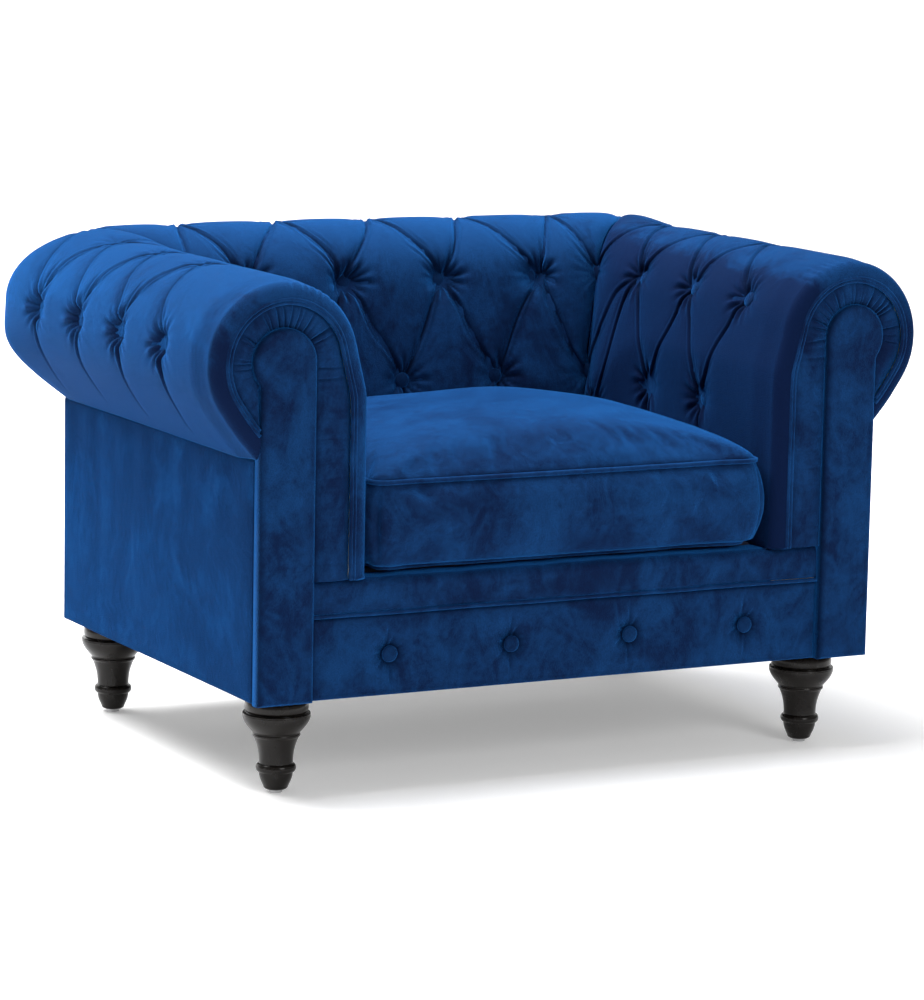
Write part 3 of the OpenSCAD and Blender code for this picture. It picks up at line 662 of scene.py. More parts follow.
# how deep each row is pulled, and how far its pit reaches
back_pull = {"B": (0.0275, 0.019), "C": (0.0165, 0.016), "T": (0.0050, 0.014), "O": (0.0165, 0.017)}
arm_pull = {"B": (0.0155, 0.016), "C": (0.0145, 0.015), "T": (0.0050, 0.013), "O": (0.0165, 0.011)}
corner_pull = {"B": (0.0120, 0.018), "C": (0.0120, 0.015), "T": (0.0050, 0.014)}


def pits(rows, corners, pull):
    return ([(*place, *pull[key]) for key in rows for place in rows[key]]
            + [(*place, *corner_pull[key]) for key in corners for place in corners[key]])


def straight_pleats(row, far, deep_row, deep_mid, width):
    """Pleats that run straight from a row of buttons to the edge of the cover."""
    return [((x, v), (x, far), deep_row, 0.0006, deep_mid, width) for x, v in row]


back_pits = pits(back_rows, corner_rows, back_pull)
back_pleats = (
    diamonds(back_all["T"], back_all["B"], 0.0058, 0.016, 0.0054, 0.016)
    + diamonds(back_all["B"], back_all["C"], 0.016, 0.012, 0.0044, 0.015)
    + diamonds(back_rows["T"], back_rows["O"], 0.0058, 0.012, 0.0040, 0.015)
    + straight_pleats(back_rows["C"], 0.0, 0.011, 0.0040, 0.013)
    + straight_pleats(back_rows["O"], back_girth[-1] - 0.035, 0.010, 0.0026, 0.012)
)
arm_pits = pits(arm_rows, arm_corner_rows, arm_pull)
arm_pleats = (
    diamonds(arm_all["T"], arm_all["B"], 0.0055, 0.010, 0.0014, 0.011, False)
    + diamonds(arm_all["B"], arm_all["C"], 0.009, 0.009, 0.0010, 0.012, False)
    + diamonds(arm_all["T"], arm_all["O"], 0.0055, 0.008, 0.0020, 0.009)
    + straight_pleats(arm_rows["C"], 0.0, 0.009, 0.0014, 0.012)
    + straight_pleats(arm_rows["O"], arm_girth[-1] - 0.03, 0.008, 0.0016, 0.010)
)


def cover_wall(height): return height - 0.0032


def foam_skin(height): return np.maximum(height - 0.0085, -0.0284)


def foam_back(height): return np.full_like(height, -0.0292)


def whole(height): return height


def back_surface(columns, layer, share=None, end_gap=mitre_gap):
    """Back lattice: across the chair by round the section, moved out by layer of its tuft relief. With share,
    gives the relief alone at that share of the half width."""
    share = np.linspace(-1, 1, columns)[:, None] if share is None else np.array([[share]])
    base_y, base_z = back_section.T
    across = outward(back_section)
    half = (mitre_x(base_y) + corner_shift)[None, :]
    x = share * half
    v = np.broadcast_to(back_girth[None, :], x.shape)
    height, fold_shade = tuft_relief(x, v, back_pits, back_pleats, 3)
    edge = np.abs(half) * (1 - np.abs(share))
    height = height - 0.009 * np.exp(-edge / 0.012) - drawn_corner * np.exp(-edge / 0.035)
    if columns == 1:
        return height[0]
    height = layer(height) * np.clip(v / 0.012, 0, 1)
    y = base_y[None, :] + across[None, :, 0] * height
    z = base_z[None, :] + across[None, :, 1] * height
    x = share * (mitre_x(y) + corner_shift - end_gap)
    # painted shade of the folds, darkened further along the seam at the cover's end
    return np.stack([x, y, z], -1), np.maximum(fold_shade, np.exp(-(v.max(1, keepdims=True) - v) / 0.004))


rim_front_y = front_y + 0.004
rim_width = 0.022
rim_depth = 0.017
rim_tucks = (0.512, 0.530, 0.543, 0.559, 0.571, 0.592)
lip_top_z = leg_z + 0.1625
board_y = front_y + 0.022


def arm_surface(columns, side, layer, seed, wrap=True, end_gap=mitre_gap):
    """Arm lattice: with wrap, the front rim first rolls out over a quarter ellipse. Then the section runs
    back to the mitre, and towards it turns into the back's section, so that the two covers meet."""
    count = len(arm_girth)
    rim_rows = 14
    phi = np.linspace(0, math.pi / 2, rim_rows)[:, None]
    section_x, section_z = arm_section.T
    base_end = mitre_y(section_x - corner_shift)[None, :]
    start_y = rim_front_y + rim_depth if wrap else board_y + 0.0006
    straight = np.linspace(0, 1, columns + 1)[1:, None]
    y = start_y + (base_end - start_y) * straight
    inset = np.zeros((columns, 1))
    if wrap:
        rim_y = rim_front_y + rim_depth * (1 - np.cos(phi))
        inset = np.concatenate([[[rim_width + 0.003]], rim_width * (1 - np.sin(phi)), inset])
        hem = np.full((1, count), rim_front_y + 0.006)
        y = np.concatenate([hem, np.broadcast_to(rim_y, (rim_rows, count)), y])
    normal = outward(arm_section)
    v = np.broadcast_to(arm_girth[None, :], y.shape)
    height, fold_shade = tuft_relief(y, v, arm_pits, arm_pleats, seed)
    settle = smooth((y - rim_front_y - rim_depth) / 0.05)
    height = -0.001 * (1 - settle) + height * settle
    tuck = sum(np.exp(-((v - arm_girth[-1] * place) / 0.0026) ** 2) for place in rim_tucks)
    height = height - 0.0016 * tuck * smooth(1.3 - (y - rim_front_y) / 0.05)
    edge = np.clip(base_end - y, 0, 1)
    height = height - 0.009 * np.exp(-edge / 0.012) - drawn_corner * np.exp(-edge / 0.035)
    to_back = back_surface(1, whole, side) - height[-1:]
    height = layer(height + to_back * np.exp(-edge / 0.015))
    height = height * np.clip(v / 0.012, 0, 1) - inset
    near = smooth(1 - (base_end - y) / 0.16)
    x0 = section_x + (mitre_x(back_section[:, 0]) + corner_shift - section_x) * near
    z0 = section_z + (back_section[:, 1] - section_z) * near
    x = x0 + normal[None, :, 0] * height
    z = z0 + normal[None, :, 1] * height
    end = mitre_y(x - corner_shift) - end_gap
    ahead = np.clip((y - start_y) / (base_end - start_y), 0, 1)
    y = y + (end - base_end) * ahead
    foot_z = lip_top_z + (pad_foot_z - lip_top_z) * np.clip((y - board_y) / 0.02, 0, 1)
    knee = pad_foot_z + 0.07
    z = np.where(z < knee, foot_z + (z - pad_foot_z) * (knee - foot_z) / (knee - pad_foot_z), z)
    # painted shade of the folds, darkened further along the seam at the cover's end
    return np.stack([side * x, y, z], -1), np.maximum(fold_shade * settle, np.exp(-(arm_girth[-1] - v) / 0.004))


def soft_piece(piece, finish, node, body="chair"):
    """Paints a piece, ties it to its body and lets it stand for its CAD node."""
    paint(piece, finish)
    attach(piece, body)
    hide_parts(node)


def painted_highlight_band(run, place):
    """Painted highlight band: how near a place on the section is to the given place, 1 there, fading both ways.
    """
    return np.exp(-((run - place) / 0.085) ** 2)


back_fine, back_coarse = 460, 150
arm_fine, arm_coarse = 320, 120
outer, fold_shade = back_surface(back_fine, whole)
# painted light: the back roll is lightened round its top, between the B and T rows of buttons
shoulder = 0.45 * back_girth[back_line["B"]] + 0.55 * back_girth[back_line["T"]]
nap_and_painted_light = np.broadcast_to(0.13 * painted_highlight_band(back_girth, shoulder), fold_shade.shape)
inner = back_surface(back_fine, cover_wall)[0]
soft_piece(shell_piece("tufted_back_cover", outer, inner, 10, fold_shade, nap_and_painted_light),
           velvet, "back_cover")
skin = back_surface(back_coarse, foam_skin, end_gap=foam_gap)[0]
core = back_surface(back_coarse, foam_back, end_gap=foam_gap)[0]
soft_piece(shell_piece("back_padding", skin, core, 5), foam_finish, "back_foam")
for side, word in ((-1, "left"), (1, "right")):
    seed = 11 + side
    outer, fold_shade = arm_surface(arm_fine, side, whole, seed)
    inner = arm_surface(arm_fine, side, cover_wall, seed)[0]
    # painted light: the tops of the arm rolls are lightened and their outside faces darkened; the right arm's
    # inside face is darkened further by painted shade
    inside_face = 1 - smooth((arm_girth - arm_girth[arm_line["B"]]) / 0.07)
    outside_face = smooth((arm_girth - arm_girth[arm_line["O"]] + 0.05) / 0.09)
    lean = 0.10 * painted_highlight_band(arm_girth, arm_girth[arm_line["T"]]) - 0.20 * outside_face
    lean = lean - 0.34 * inside_face * (side > 0)
    nap_and_painted_light = np.broadcast_to(lean, fold_shade.shape)
    soft_piece(shell_piece("tufted_arm_cover_" + word, outer, inner, 10, fold_shade, nap_and_painted_light),
               shaded_velvet if side > 0 else velvet, "arm_cover_" + word)
    skin = arm_surface(arm_coarse, side, foam_skin, seed, False, foam_gap)[0]
    core = arm_surface(arm_coarse, side, foam_back, seed, False, foam_gap)[0]
    soft_piece(shell_piece("arm_padding_" + word, skin, core, 5),
               foam_finish, "arm_foam_" + word)

# ---------------------------------------------------------------- buttons
# Velvet-covered buttons: a flat foot, a rolled rim and a low dome. Each is tied down through the
# padding to the frame, so it sits at the bottom of its pit.
def button_outline():
    """Radius and height of a button in metres: a quarter turn for the rim, a flattened one for the dome."""
    rim, dome = np.radians(np.linspace(-85, 30, 8)), np.radians(np.linspace(12, 89, 9))
    return np.concatenate([
        [[0.01, 0.0], [8.8, 0.0]],
        np.stack([9.1 + 2.4 * np.cos(rim), 2.9 + 2.4 * np.sin(rim)], 1),
        np.stack([11.2 * np.cos(dome), 3.6 + 3.4 * np.sin(dome)], 1)]) * mm


def button_set(name, feet, axes, steps=28):
    """One mesh of many buttons: the outline is turned about each axis at each foot."""
    outline = button_outline()
    feet, axes = np.array(feet, float), np.array(axes, float)
    axes /= np.linalg.norm(axes, axis=1)[:, None]
    side_way = np.cross(axes, [0.13, 0.21, 0.97])
    side_way /= np.linalg.norm(side_way, axis=1)[:, None]
    other_way = np.cross(axes, side_way)
    angle = np.linspace(0, 2 * math.pi, steps, endpoint=False)
    ring = (side_way[:, None, :] * np.cos(angle)[None, :, None]
            + other_way[:, None, :] * np.sin(angle)[None, :, None])
    points = (feet[:, None, None, :] + outline[None, :, None, :1] * ring[:, None, :, :]
              + outline[None, :, None, 1:] * axes[:, None, None, :])
    rows = len(outline)
    quads = grid_quads(rows, steps, wrap_columns=True)
    first = (np.arange(len(feet)) * rows * steps)[:, None, None]
    caps = [np.arange(steps) + i * rows * steps for i in range(len(feet))]
    tops = [np.arange(steps)[::-1] + (i + 1) * rows * steps - steps for i in range(len(feet))]
    # painted shade: every button is darkened evenly
    return make_piece(name, points, (quads[None] + first).reshape(-1, 4), caps + tops,
                      {"fold_shade": np.full(points.size // 3, 0.4)})


def tilted(sitter_side, degrees):
    """Across and up parts of a direction that leaves a roll at an angle above level."""
    return np.array([-sitter_side * math.cos(math.radians(degrees)), math.sin(math.radians(degrees))])


# For each row on a roll: the roll's centre, the feet's distance from it, their angle and their side.
rise = {"B": (back_centre, 0.0838, 18, 1), "O": (back_centre, 0.094, 8, -1)}
arm_rise = {"B": (arm_centre, 0.095, 27, 1), "O": (arm_centre, 0.094, 8, -1)}
feet, axes = [], []
for key, (centre, lift, degrees, sitter_side) in rise.items():
    way = tilted(sitter_side, degrees)
    for x, _ in back_rows[key]:
        feet.append((x, *(centre + lift * way)))
        axes.append((0.0, *way))
for x, _ in back_rows["C"]:
    feet.append((x, back_face_y + 0.016, button_level))
    axes.append((0.0, -1.0, 0.0))
corner_places = ((mitre_a[0] + 0.039, back_centre[1] + 0.027, math.sin(math.radians(14))),
                 (mitre_a[0] + 0.008, button_level, 0.0))
for sign in (-1, 1):
    for x, z, up in corner_places:
        level = math.sqrt((1 - up * up) / 2)
        feet.append((sign * x, mitre_y(x), z))
        axes.append((-sign * level, -level, up))
soft_piece(button_set("covered_back_buttons", feet, axes), velvet, "back_buttons")

for side, word in ((-1, "left"), (1, "right")):
    feet, axes = [], []
    for key, (centre, lift, degrees, sitter_side) in arm_rise.items():
        way = tilted(sitter_side, degrees)
        place = centre + lift * way
        for y, _ in arm_rows[key]:
            feet.append((side * place[0], y, place[1]))
            axes.append((side * way[0], 0.0, way[1]))
    for y, _ in arm_rows["C"]:
        feet.append((side * (seat_half + 0.014), y, button_level))
        axes.append((-side, 0.0, 0.0))
    soft_piece(button_set("covered_arm_buttons_" + word, feet, axes),
               velvet, "arm_buttons_" + word)

# ---------------------------------------------------------------- arm fronts
# Round the scroll of each arm: the rolled rim of the cover, two rows of piping side by side, a
# gathered band, and a padded facing with a round head nailed over the raw edges.
def joined(parts):
    """Several lots of points, quads and rings as one."""
    first = np.cumsum([0] + [len(points) for points, _, _ in parts])
    return (np.concatenate([points for points, _, _ in parts]),
            np.concatenate([quads + start for (_, quads, _), start in zip(parts, first)]),
            [np.asarray(ring) + start for (_, _, rings), start in zip(parts, first) for ring in rings])


def tube(path, radius, closed=False, steps=14, flat_way=(0.0, 1.0, 0.0)):
    """A round cord along a path that lies across flat_way: each point carries a circle of its own."""
    path = np.asarray(path, float)
    tangent = np.gradient(path, axis=0)
    if closed:
        tangent = np.roll(path, -1, 0) - np.roll(path, 1, 0)
    tangent /= np.linalg.norm(tangent, axis=1)[:, None]
    flat = np.broadcast_to(np.asarray(flat_way, float), path.shape)
    beside = np.cross(tangent, flat)
    beside /= np.linalg.norm(beside, axis=1)[:, None]
    angle = np.linspace(0, 2 * math.pi, steps, endpoint=False)
    points = path[:, None, :] + radius * (beside[:, None, :] * np.cos(angle)[None, :, None]
                                          + flat[:, None, :] * np.sin(angle)[None, :, None])
    quads = grid_quads(len(path), steps, wrap_rows=closed, wrap_columns=True)
    last = (len(path) - 1) * steps
    caps = [] if closed else [np.arange(steps), last + np.arange(steps)[::-1]]
    return points.reshape(-1, 3), quads, caps


def edge_round(inside, radius):
    """How far a soft edge has fallen back at a distance inside its outline: a quarter circle."""
    short = radius - np.clip(inside, 0, radius)
    return radius - np.sqrt(np.clip(radius ** 2 - short ** 2, 0, None))


facing_low, facing_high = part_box("facing_panel_right")
facing_left = facing_low.x
head_radius = 0.046
head = np.array([facing_left + head_radius, facing_high.z - head_radius])
facing_back_y = board_y - 0.0003
facing_cord = 0.0026
band_y = front_y + 0.011


def seam_shade(inside):
    """Painted shade towards a seam: 1 at the edge, fading over a few millimetres."""
    return np.exp(-np.clip(inside, 0, 1) / 0.0035)


def inset_line(inset, step=0.003):
    """The arm's section moved in by inset and cut where it goes behind the facing, at an even spacing."""
    line = arm_section - outward(arm_section) * inset
    line = line[line[:, 1] > lip_top_z + 0.0006]
    behind = (line[:, 0] > head[0]) & (line[:, 0] < panel_x + 0.0006) & (line[:, 1] < head[1])
    line = line[:int(np.argmax(behind))] if behind.any() else line
    run = girth(line)
    even = np.linspace(0, run[-1], int(run[-1] / step))
    return np.stack([np.interp(even, run, line[:, k]) for k in (0, 1)], 1)


def facing_edge(line):
    """Where a ray from each point of line to the facing's middle meets its outline."""
    away = line - head
    length = np.linalg.norm(away, axis=1)
    way = away / length[:, None]
    reach_side = np.where(way[:, 0] > 0.05, (panel_x - head[0]) / np.maximum(way[:, 0], 0.05), 0.0)
    reach = np.maximum(head_radius, np.where(way[:, 1] < 0, reach_side, 0))
    hit = head + way * np.minimum(reach, length)[:, None]
    left = (line[:, 1] < head[1]) & (line[:, 0] < head[0])
    return np.where(left[:, None], np.stack([np.full(len(line), facing_left), line[:, 1]], 1), hit)


def with_flat_back(x, y, z):
    """Outer and inner lattice of a padded front: its rim turns straight back to the board behind it."""
    outer = np.pad(np.stack([x, y, z], -1), ((1, 1), (1, 1), (0, 0)), mode="edge")
    outer[[0, -1], :, 1] = facing_back_y
    outer[:, [0, -1], 1] = facing_back_y
    inner = outer.copy()
    inner[:, :, 1] = facing_back_y
    return outer, inner


def facing_shape(side):
    """Facing lattice, up by across: a slab with a round head, its edges rounded, its face a little uneven."""
    z0 = leg_z
    edge = np.array([0, 0.4, 1.1, 2.2, 3.6, 5.4]) * mm
    turn = np.radians(np.linspace(0, 87.5, 26))
    straight = np.linspace(z0 + 0.009, head[1] - 0.005, 80)
    z = np.concatenate([z0 + edge, straight, head[1] + head_radius * np.sin(turn)])
    swing = np.sqrt(np.clip(head_radius ** 2 - (z - head[1]) ** 2, 0, None))
    left = np.where(z < head[1], facing_left, head[0] - swing)
    right = np.where(z < head[1], np.maximum(panel_x, head[0] + swing), head[0] + swing)
    share = (1 - np.cos(np.linspace(0, math.pi, 34))) / 2
    x = left[:, None] + (right - left)[:, None] * share
    z = np.broadcast_to(z[:, None], x.shape)
    slab = np.minimum(np.minimum(x - facing_left, panel_x - x), z - z0)
    inside = np.maximum(np.where(z < head[1], slab, -1), head_radius - np.hypot(x - head[0], z - head[1]))
    uneven = (0.0007 * np.sin(31 * z + 40 * x) * np.sin(17 * z + side)
              + 0.0006 * np.sin(70 * z - 55 * x + 2 * side))
    swell = uneven * smooth(inside / 0.012) - 0.0012 * smooth(inside / 0.03)
    y = front_y + edge_round(inside, 0.0075) + swell
    # painted shade along the facing's edges
    return (*with_flat_back(side * x, y, z), np.pad(seam_shade(inside), 1, constant_values=1))


def band_shape(side, seed):
    """Band lattice, along the scroll and from piping to facing: a soft bulge cut by slanting gathers."""
    line = inset_line(rim_width + 0.0068, 0.0012)
    target = facing_edge(line)
    share = np.linspace(0, 1, 22)[None, :, None]
    flat = line[:, None, :] + (target - line)[:, None, :] * share
    run = girth(line)
    random = np.random.default_rng(seed)
    spots = np.cumsum(random.uniform(0.007, 0.016, 60))
    spots = spots[spots < run[-1]]
    over_head = smooth((np.interp(spots, run, line[:, 1]) - head[1] + 0.05) / 0.05)
    strength = random.uniform(0.3, 1.0, len(spots)) ** 2 * (0.16 + 0.84 * over_head)
    thin = random.uniform(0.0012, 0.0028, len(spots))
    slant = random.uniform(-0.004, 0.004, len(spots))
    w = np.linspace(0, 1, 22)
    gather = np.zeros((len(run), 22))
    for spot, force, width, lean in zip(spots, strength, thin, slant):
        gather = np.maximum(gather, force * np.exp(-((run[:, None] - spot - lean * w) / width) ** 2))
    pull = gather * (0.0014 + 0.0046 * w ** 1.1) * np.sin(math.pi * np.clip(w * 0.9 + 0.08, 0, 1)) ** 0.4
    y = band_y - 0.0006 - 0.0040 * np.sin(math.pi * w) ** 0.8 + pull
    at_seams = np.maximum(0.85 * np.exp(-(1 - w) / 0.10), 0.6 * np.exp(-w / 0.05))
    # painted shade in the gathers and along both seams
    shade = np.maximum(gather * np.sqrt(w), at_seams)
    return (*with_flat_back(side * flat[..., 0], y, flat[..., 1]), np.pad(shade, 1))


for side, word in ((-1, "left"), (1, "right")):
    cords = []
    for inset in (rim_width + 0.0012, rim_width + 0.0058):
        line = inset_line(inset)
        path = np.stack([side * line[:, 0], np.full(len(line), front_y + 0.0048), line[:, 1]], 1)
        cords.append(tube(path, facing_cord))
    soft_piece(make_piece("double_piping_" + word, *joined(cords)),
               velvet, "facing_welt_" + word)
    outer, inner, gather = band_shape(side, 40 + side)
    # the band's mark here is painted shade in its gathers and along its seams
    soft_piece(shell_piece("gathered_band_" + word, outer, inner, 7, gather),
               velvet, "facing_band_" + word)
    outer, inner, shade = facing_shape(side)
    soft_piece(shell_piece("padded_facing_" + word, outer, inner, 4, shade),
               velvet, "facing_panel_" + word)

# ---------------------------------------------------------------- outside panels
# Velvet drawn over wadding on the outside of the arms and the back, back-tacked along the seam
# under the rolls and pulled under the rails.
def soft_board(corner, first, second, out, size, thick, radius, relief, spacing=0.005):
    """A padded board: a lattice along first and second, its face thick above the corner's plane along out,
    rounded at its edges and moved by relief(first, second) away from them."""
    edge = np.array([0, 0.08, 0.22, 0.42, 0.68]) * radius
    lines = []
    for length in size:
        middle = np.linspace(radius, length - radius, max(3, int(length / spacing)))
        lines.append(np.concatenate([edge, middle, length - edge[::-1]]))
    a, b = np.meshgrid(*lines, indexing="ij")
    inside = np.minimum(np.minimum(a, size[0] - a), np.minimum(b, size[1] - b))
    swell = relief(a, b)
    lift = thick - edge_round(inside, radius) + swell * smooth(inside / 0.02)
    corner, first, second, out = (np.asarray(v, float) for v in (corner, first, second, out))
    face = corner + a[..., None] * first + b[..., None] * second + lift[..., None] * out
    outer = np.pad(face, ((1, 1), (1, 1), (0, 0)), mode="edge")
    floor_plane = np.pad(face - lift[..., None] * out, ((1, 1), (1, 1), (0, 0)), mode="edge")
    outer[[0, -1]], outer[:, [0, -1]] = floor_plane[[0, -1]], floor_plane[:, [0, -1]]
    # painted shade along the board's edges and in its hollows
    shade = np.maximum(seam_shade(inside), 0.85 * np.clip(-swell / 0.005, 0, 1))
    return outer, floor_plane, np.pad(shade, 1, constant_values=1)


def drawn_cloth(seed, pulls=0.0005):
    """Slow swells of the wadding, and faint upright pulls that fade away below the seam."""
    phase = np.random.default_rng(seed).uniform(0, 6.28, 6)

    def relief(a, b):
        top = np.clip(b / b.max(), 0, 1) ** 3
        slow = (0.0009 * np.sin(9 * a + phase[0]) * np.sin(11 * b + phase[1])
                + 0.0006 * np.sin(21 * a - 13 * b + phase[2]))
        fine = np.sin(95 * a + phase[3]) + np.sin(57 * a + 9 * b + phase[4])
        return 0.0012 + slow + pulls * top * fine
    return relief


panel_roll = 0.005
panel_relief_room = 0.0006
low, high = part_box("arm_panel_right")
for side, word in ((-1, "left"), (1, "right")):
    board = soft_board((side * low.x, low.y, low.z), (0, 1, 0), (0, 0, 1), (side, 0, 0),
                       (high.y - low.y, high.z - low.z), high.x - low.x - panel_relief_room,
                       panel_roll, drawn_cloth(50 + side))
    soft_piece(shell_piece("outside_arm_" + word, *board[:2], 6, board[2]),
               shaded_side_velvet, "arm_panel_" + word)
low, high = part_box("back_panel")
board = soft_board((low.x, low.y, low.z), (1, 0, 0), (0, 0, 1), (0, 1, 0),
                   (high.x - low.x, high.z - low.z), high.y - low.y - panel_relief_room,
                   panel_roll, drawn_cloth(53))
soft_piece(shell_piece("outside_back", *board[:2], 6, board[2]), shaded_side_velvet, "back_panel")

# ---------------------------------------------------------------- front lip and border
# Under the cushion a padded lip rolls over the front rail. Below its piping hangs a flat border
# with four buttons, each with a crease from the piping to the bottom edge.
border_low, border_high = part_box("front_border")
border_step = 0.186
border_foot = border_low.y + 0.003
border_z = leg_z + 0.057
border_places = (-1.5, -0.5, 0.5, 1.5)
border_cord = 0.0028


def border_relief(a, b):
    """Each button pits the wadding as exp(-r/d), a crease runs above and below it, and the rest swells."""
    x, z = a + border_low.x, b + border_low.z - border_z
    swell = 0.0017 + 0.0005 * np.sin(23 * x + 1) * np.sin(31 * z)
    pit, crease, rays = 0 * a, 0 * a, 0 * a
    for n in border_places:
        dx = x - n * border_step
        r = np.hypot(dx, z)
        angle = np.arctan2(z, dx)
        pit = np.maximum(pit, 0.0086 * np.exp(-(np.clip(r - 0.010, 0, 1) / 0.012) ** 1.2))
        bend = dx - 0.0016 * np.sin(60 * z + 2 * n)
        fade = np.exp(-((np.abs(z) - 0.012).clip(0, 1) / 0.030) ** 2)
        furrow = 0.0026 * np.exp(-np.abs(bend) / 0.010) + 0.0026 * np.exp(-(bend / 0.0026) ** 2)
        crease = np.maximum(crease, fade * furrow)
        spokes = np.cos(9 * angle + n) + 0.7 * np.cos(14 * angle + 2 * n)
        rays += 0.0005 * spokes * np.exp(-((r - 0.020) / 0.010) ** 2)
    return swell - np.maximum(pit, crease) + rays


board = soft_board((border_low.x, border_high.y, border_low.z), (1, 0, 0), (0, 0, 1), (0, -1, 0),
                   (border_high.x - border_low.x, border_high.z - border_low.z),
                   border_high.y - border_low.y, panel_roll, border_relief, 0.0019)
soft_piece(shell_piece("buttoned_border", *board[:2], 6, board[2]), velvet, "front_border")
feet = [(n * border_step, border_foot - 0.0004, border_z) for n in border_places]
soft_piece(button_set("covered_border_buttons", feet, [(0, -1, 0)] * 4),
           velvet, "border_buttons")

welt_low, welt_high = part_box("border_welt")
x = np.linspace(welt_low.x, welt_high.x, 200)
path = np.stack([x, welt_low.y + 0.0027 + 0.0003 * np.sin(41 * x), (welt_low.z + welt_high.z) / 2
                 + 0.0004 * np.sin(29 * x)], 1)
tape_section = np.array([[welt_low.y + 0.003, welt_low.z], [welt_low.y + 0.003, welt_high.z],
                         [welt_high.y, welt_high.z], [welt_high.y, welt_low.z]])


def strip_along_x(section, stations):
    """A closed Y-Z section carried along X, flat at both ends; its points go round it, then along."""
    points = np.stack(np.broadcast_arrays(stations[None], section[:, :1], section[:, 1:]), -1)
    first = np.arange(len(section)) * len(stations)
    return (points.reshape(-1, 3), grid_quads(len(section), len(stations), wrap_rows=True),
            [first, (first + len(stations) - 1)[::-1]])


# The cord is covered in velvet whose spare edge, a flat tape, is tacked to the rail behind it.
soft_piece(make_piece("border_piping", *joined([tube(path, border_cord), strip_along_x(tape_section, x[::20])])),
           velvet, "border_welt")

lip_low, lip_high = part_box("front_lip")
nose_radius = 0.013
# The arm fronts stand in notches at the lip's ends: a steep step from its soft front to the board.
notch_in, notch_x, notch_out = 0.3148, 0.3150, 0.3154


def lip_shape():
    """Lip lattice, round its section by across: up the front, over a round nose, back along the top and down
    behind the rail. It is shallower at its ends, where the arm fronts stand."""
    nose = np.radians(np.linspace(180, 90, 16))
    r = nose_radius
    front, top, low, rear = lip_low.y, lip_high.z, lip_low.z - 0.0002, lip_high.y
    up = np.linspace(low, top - r, 9)
    back = np.linspace(front + r + 0.002, rear, 9)
    under_z, behind_y = low + 0.0245, board_y - 0.0006
    section = np.concatenate([
        np.stack([np.full(len(up), front), up], 1),
        np.stack([front + r + r * np.cos(nose[1:]), top - r + r * np.sin(nose[1:])], 1),
        np.stack([back, np.full(len(back), top)], 1),
        [[rear, under_z], [board_y + 0.003, under_z], [behind_y, low + 0.010], [behind_y, low]]])
    x = np.concatenate([np.linspace(lip_low.x, -notch_out, 14), np.linspace(-notch_in, notch_in, 120),
                        np.linspace(notch_out, lip_high.x, 14)])
    y, z = (np.broadcast_to(section[:, k][:, None], (len(section), len(x))).copy() for k in (0, 1))
    seen_points = len(up) + len(nose) - 1 + len(back)
    soft = (np.arange(len(section)) < seen_points)[:, None] * smooth((lip_high.x - np.abs(x)) / 0.02)
    bow = 0.0011 * np.sin(13 * x + 1) + 0.0007 * np.sin(47 * x) + 0.0005 * np.sin(101 * x + 2)
    y -= soft * (0.0010 + bow * 0.6)
    z += soft * bow * np.clip((z - low) / 0.03, 0, 1) * 0.6
    y = np.where(np.abs(x) > notch_x, np.minimum(y, behind_y), y)
    return np.stack([np.broadcast_to(x, y.shape), y, z], -1)


lattice = lip_shape()
rows, columns = lattice.shape[:2]
ends = [np.arange(rows) * columns, (np.arange(rows) * columns + columns - 1)[::-1]]
soft_piece(make_piece("padded_lip", lattice, grid_quads(rows, columns, wrap_rows=True), ends),
           velvet, "front_lip")

# ---------------------------------------------------------------- seat deck
# A flat pad in dark platform cloth lies on the springs under the loose cushion.
platform = Finish("platform_cloth", {
    "Roughness": 0.9, "Sheen Weight": 0.2, "Sheen Roughness": 0.5, "Sheen Tint": (0.25, 0.35, 0.7, 1.0)})
threads = platform.node("ShaderNodeTexWave", {"wave_type": "BANDS", "bands_direction": "DIAGONAL"},
                        {"Vector": platform.place(), "Scale": 520.0, "Distortion": 1.5, "Detail": 1.0}, "Fac")
slub = platform.noise(300, 3, 0.6, 0.0, (1.0, 0.1, 1.0))
platform.feed("Base Color", platform.blend(threads * 0.6 + slub * 0.4,
                                           (0.006, 0.009, 0.022), (0.018, 0.026, 0.055)))
platform.feed("Roughness", 0.8 + slub * 0.15)
platform.bump(threads, 0.0003)
low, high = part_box("deck_pad")


def deck_relief(a, b):
    return -0.0012 + 0.0008 * np.sin(14 * a + 1) * np.sin(17 * b)


board = soft_board((low.x, low.y, low.z), (1, 0, 0), (0, 1, 0), (0, 0, 1), (high.x - low.x, high.y - low.y),
                   high.z - low.z, 0.008, deck_relief, 0.008)
soft_piece(shell_piece("platform_pad", *board[:2], 6), platform, "deck_pad")

# ---------------------------------------------------------------- loose seat cushion
# A foam block in a piped velvet box cover: boxing round the sides, piping along both edges, a crown
# that stands up in the middle, and a zip along the rear boxing.
cushion_low, cushion_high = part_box("cushion_cover")
cushion_voxel = 0.006
cushion_mid_y = (cushion_low.y + cushion_high.y) / 2
cushion_half = np.array([0.306, (cushion_high.y - cushion_low.y) / 2 - 0.003])
corner_radius = 0.024
edge_top_z = 0.4285
cushion_crown = 0.060
piping_levels = (0.3055, 0.4230)
piping_radius = 0.0034
# The room between the arms, which opens over a quarter ellipse where their rims roll out in front.
room_half, room_front_y = 0.3143, -0.396
rim_start_y, rim_opening = -0.3675, 0.021


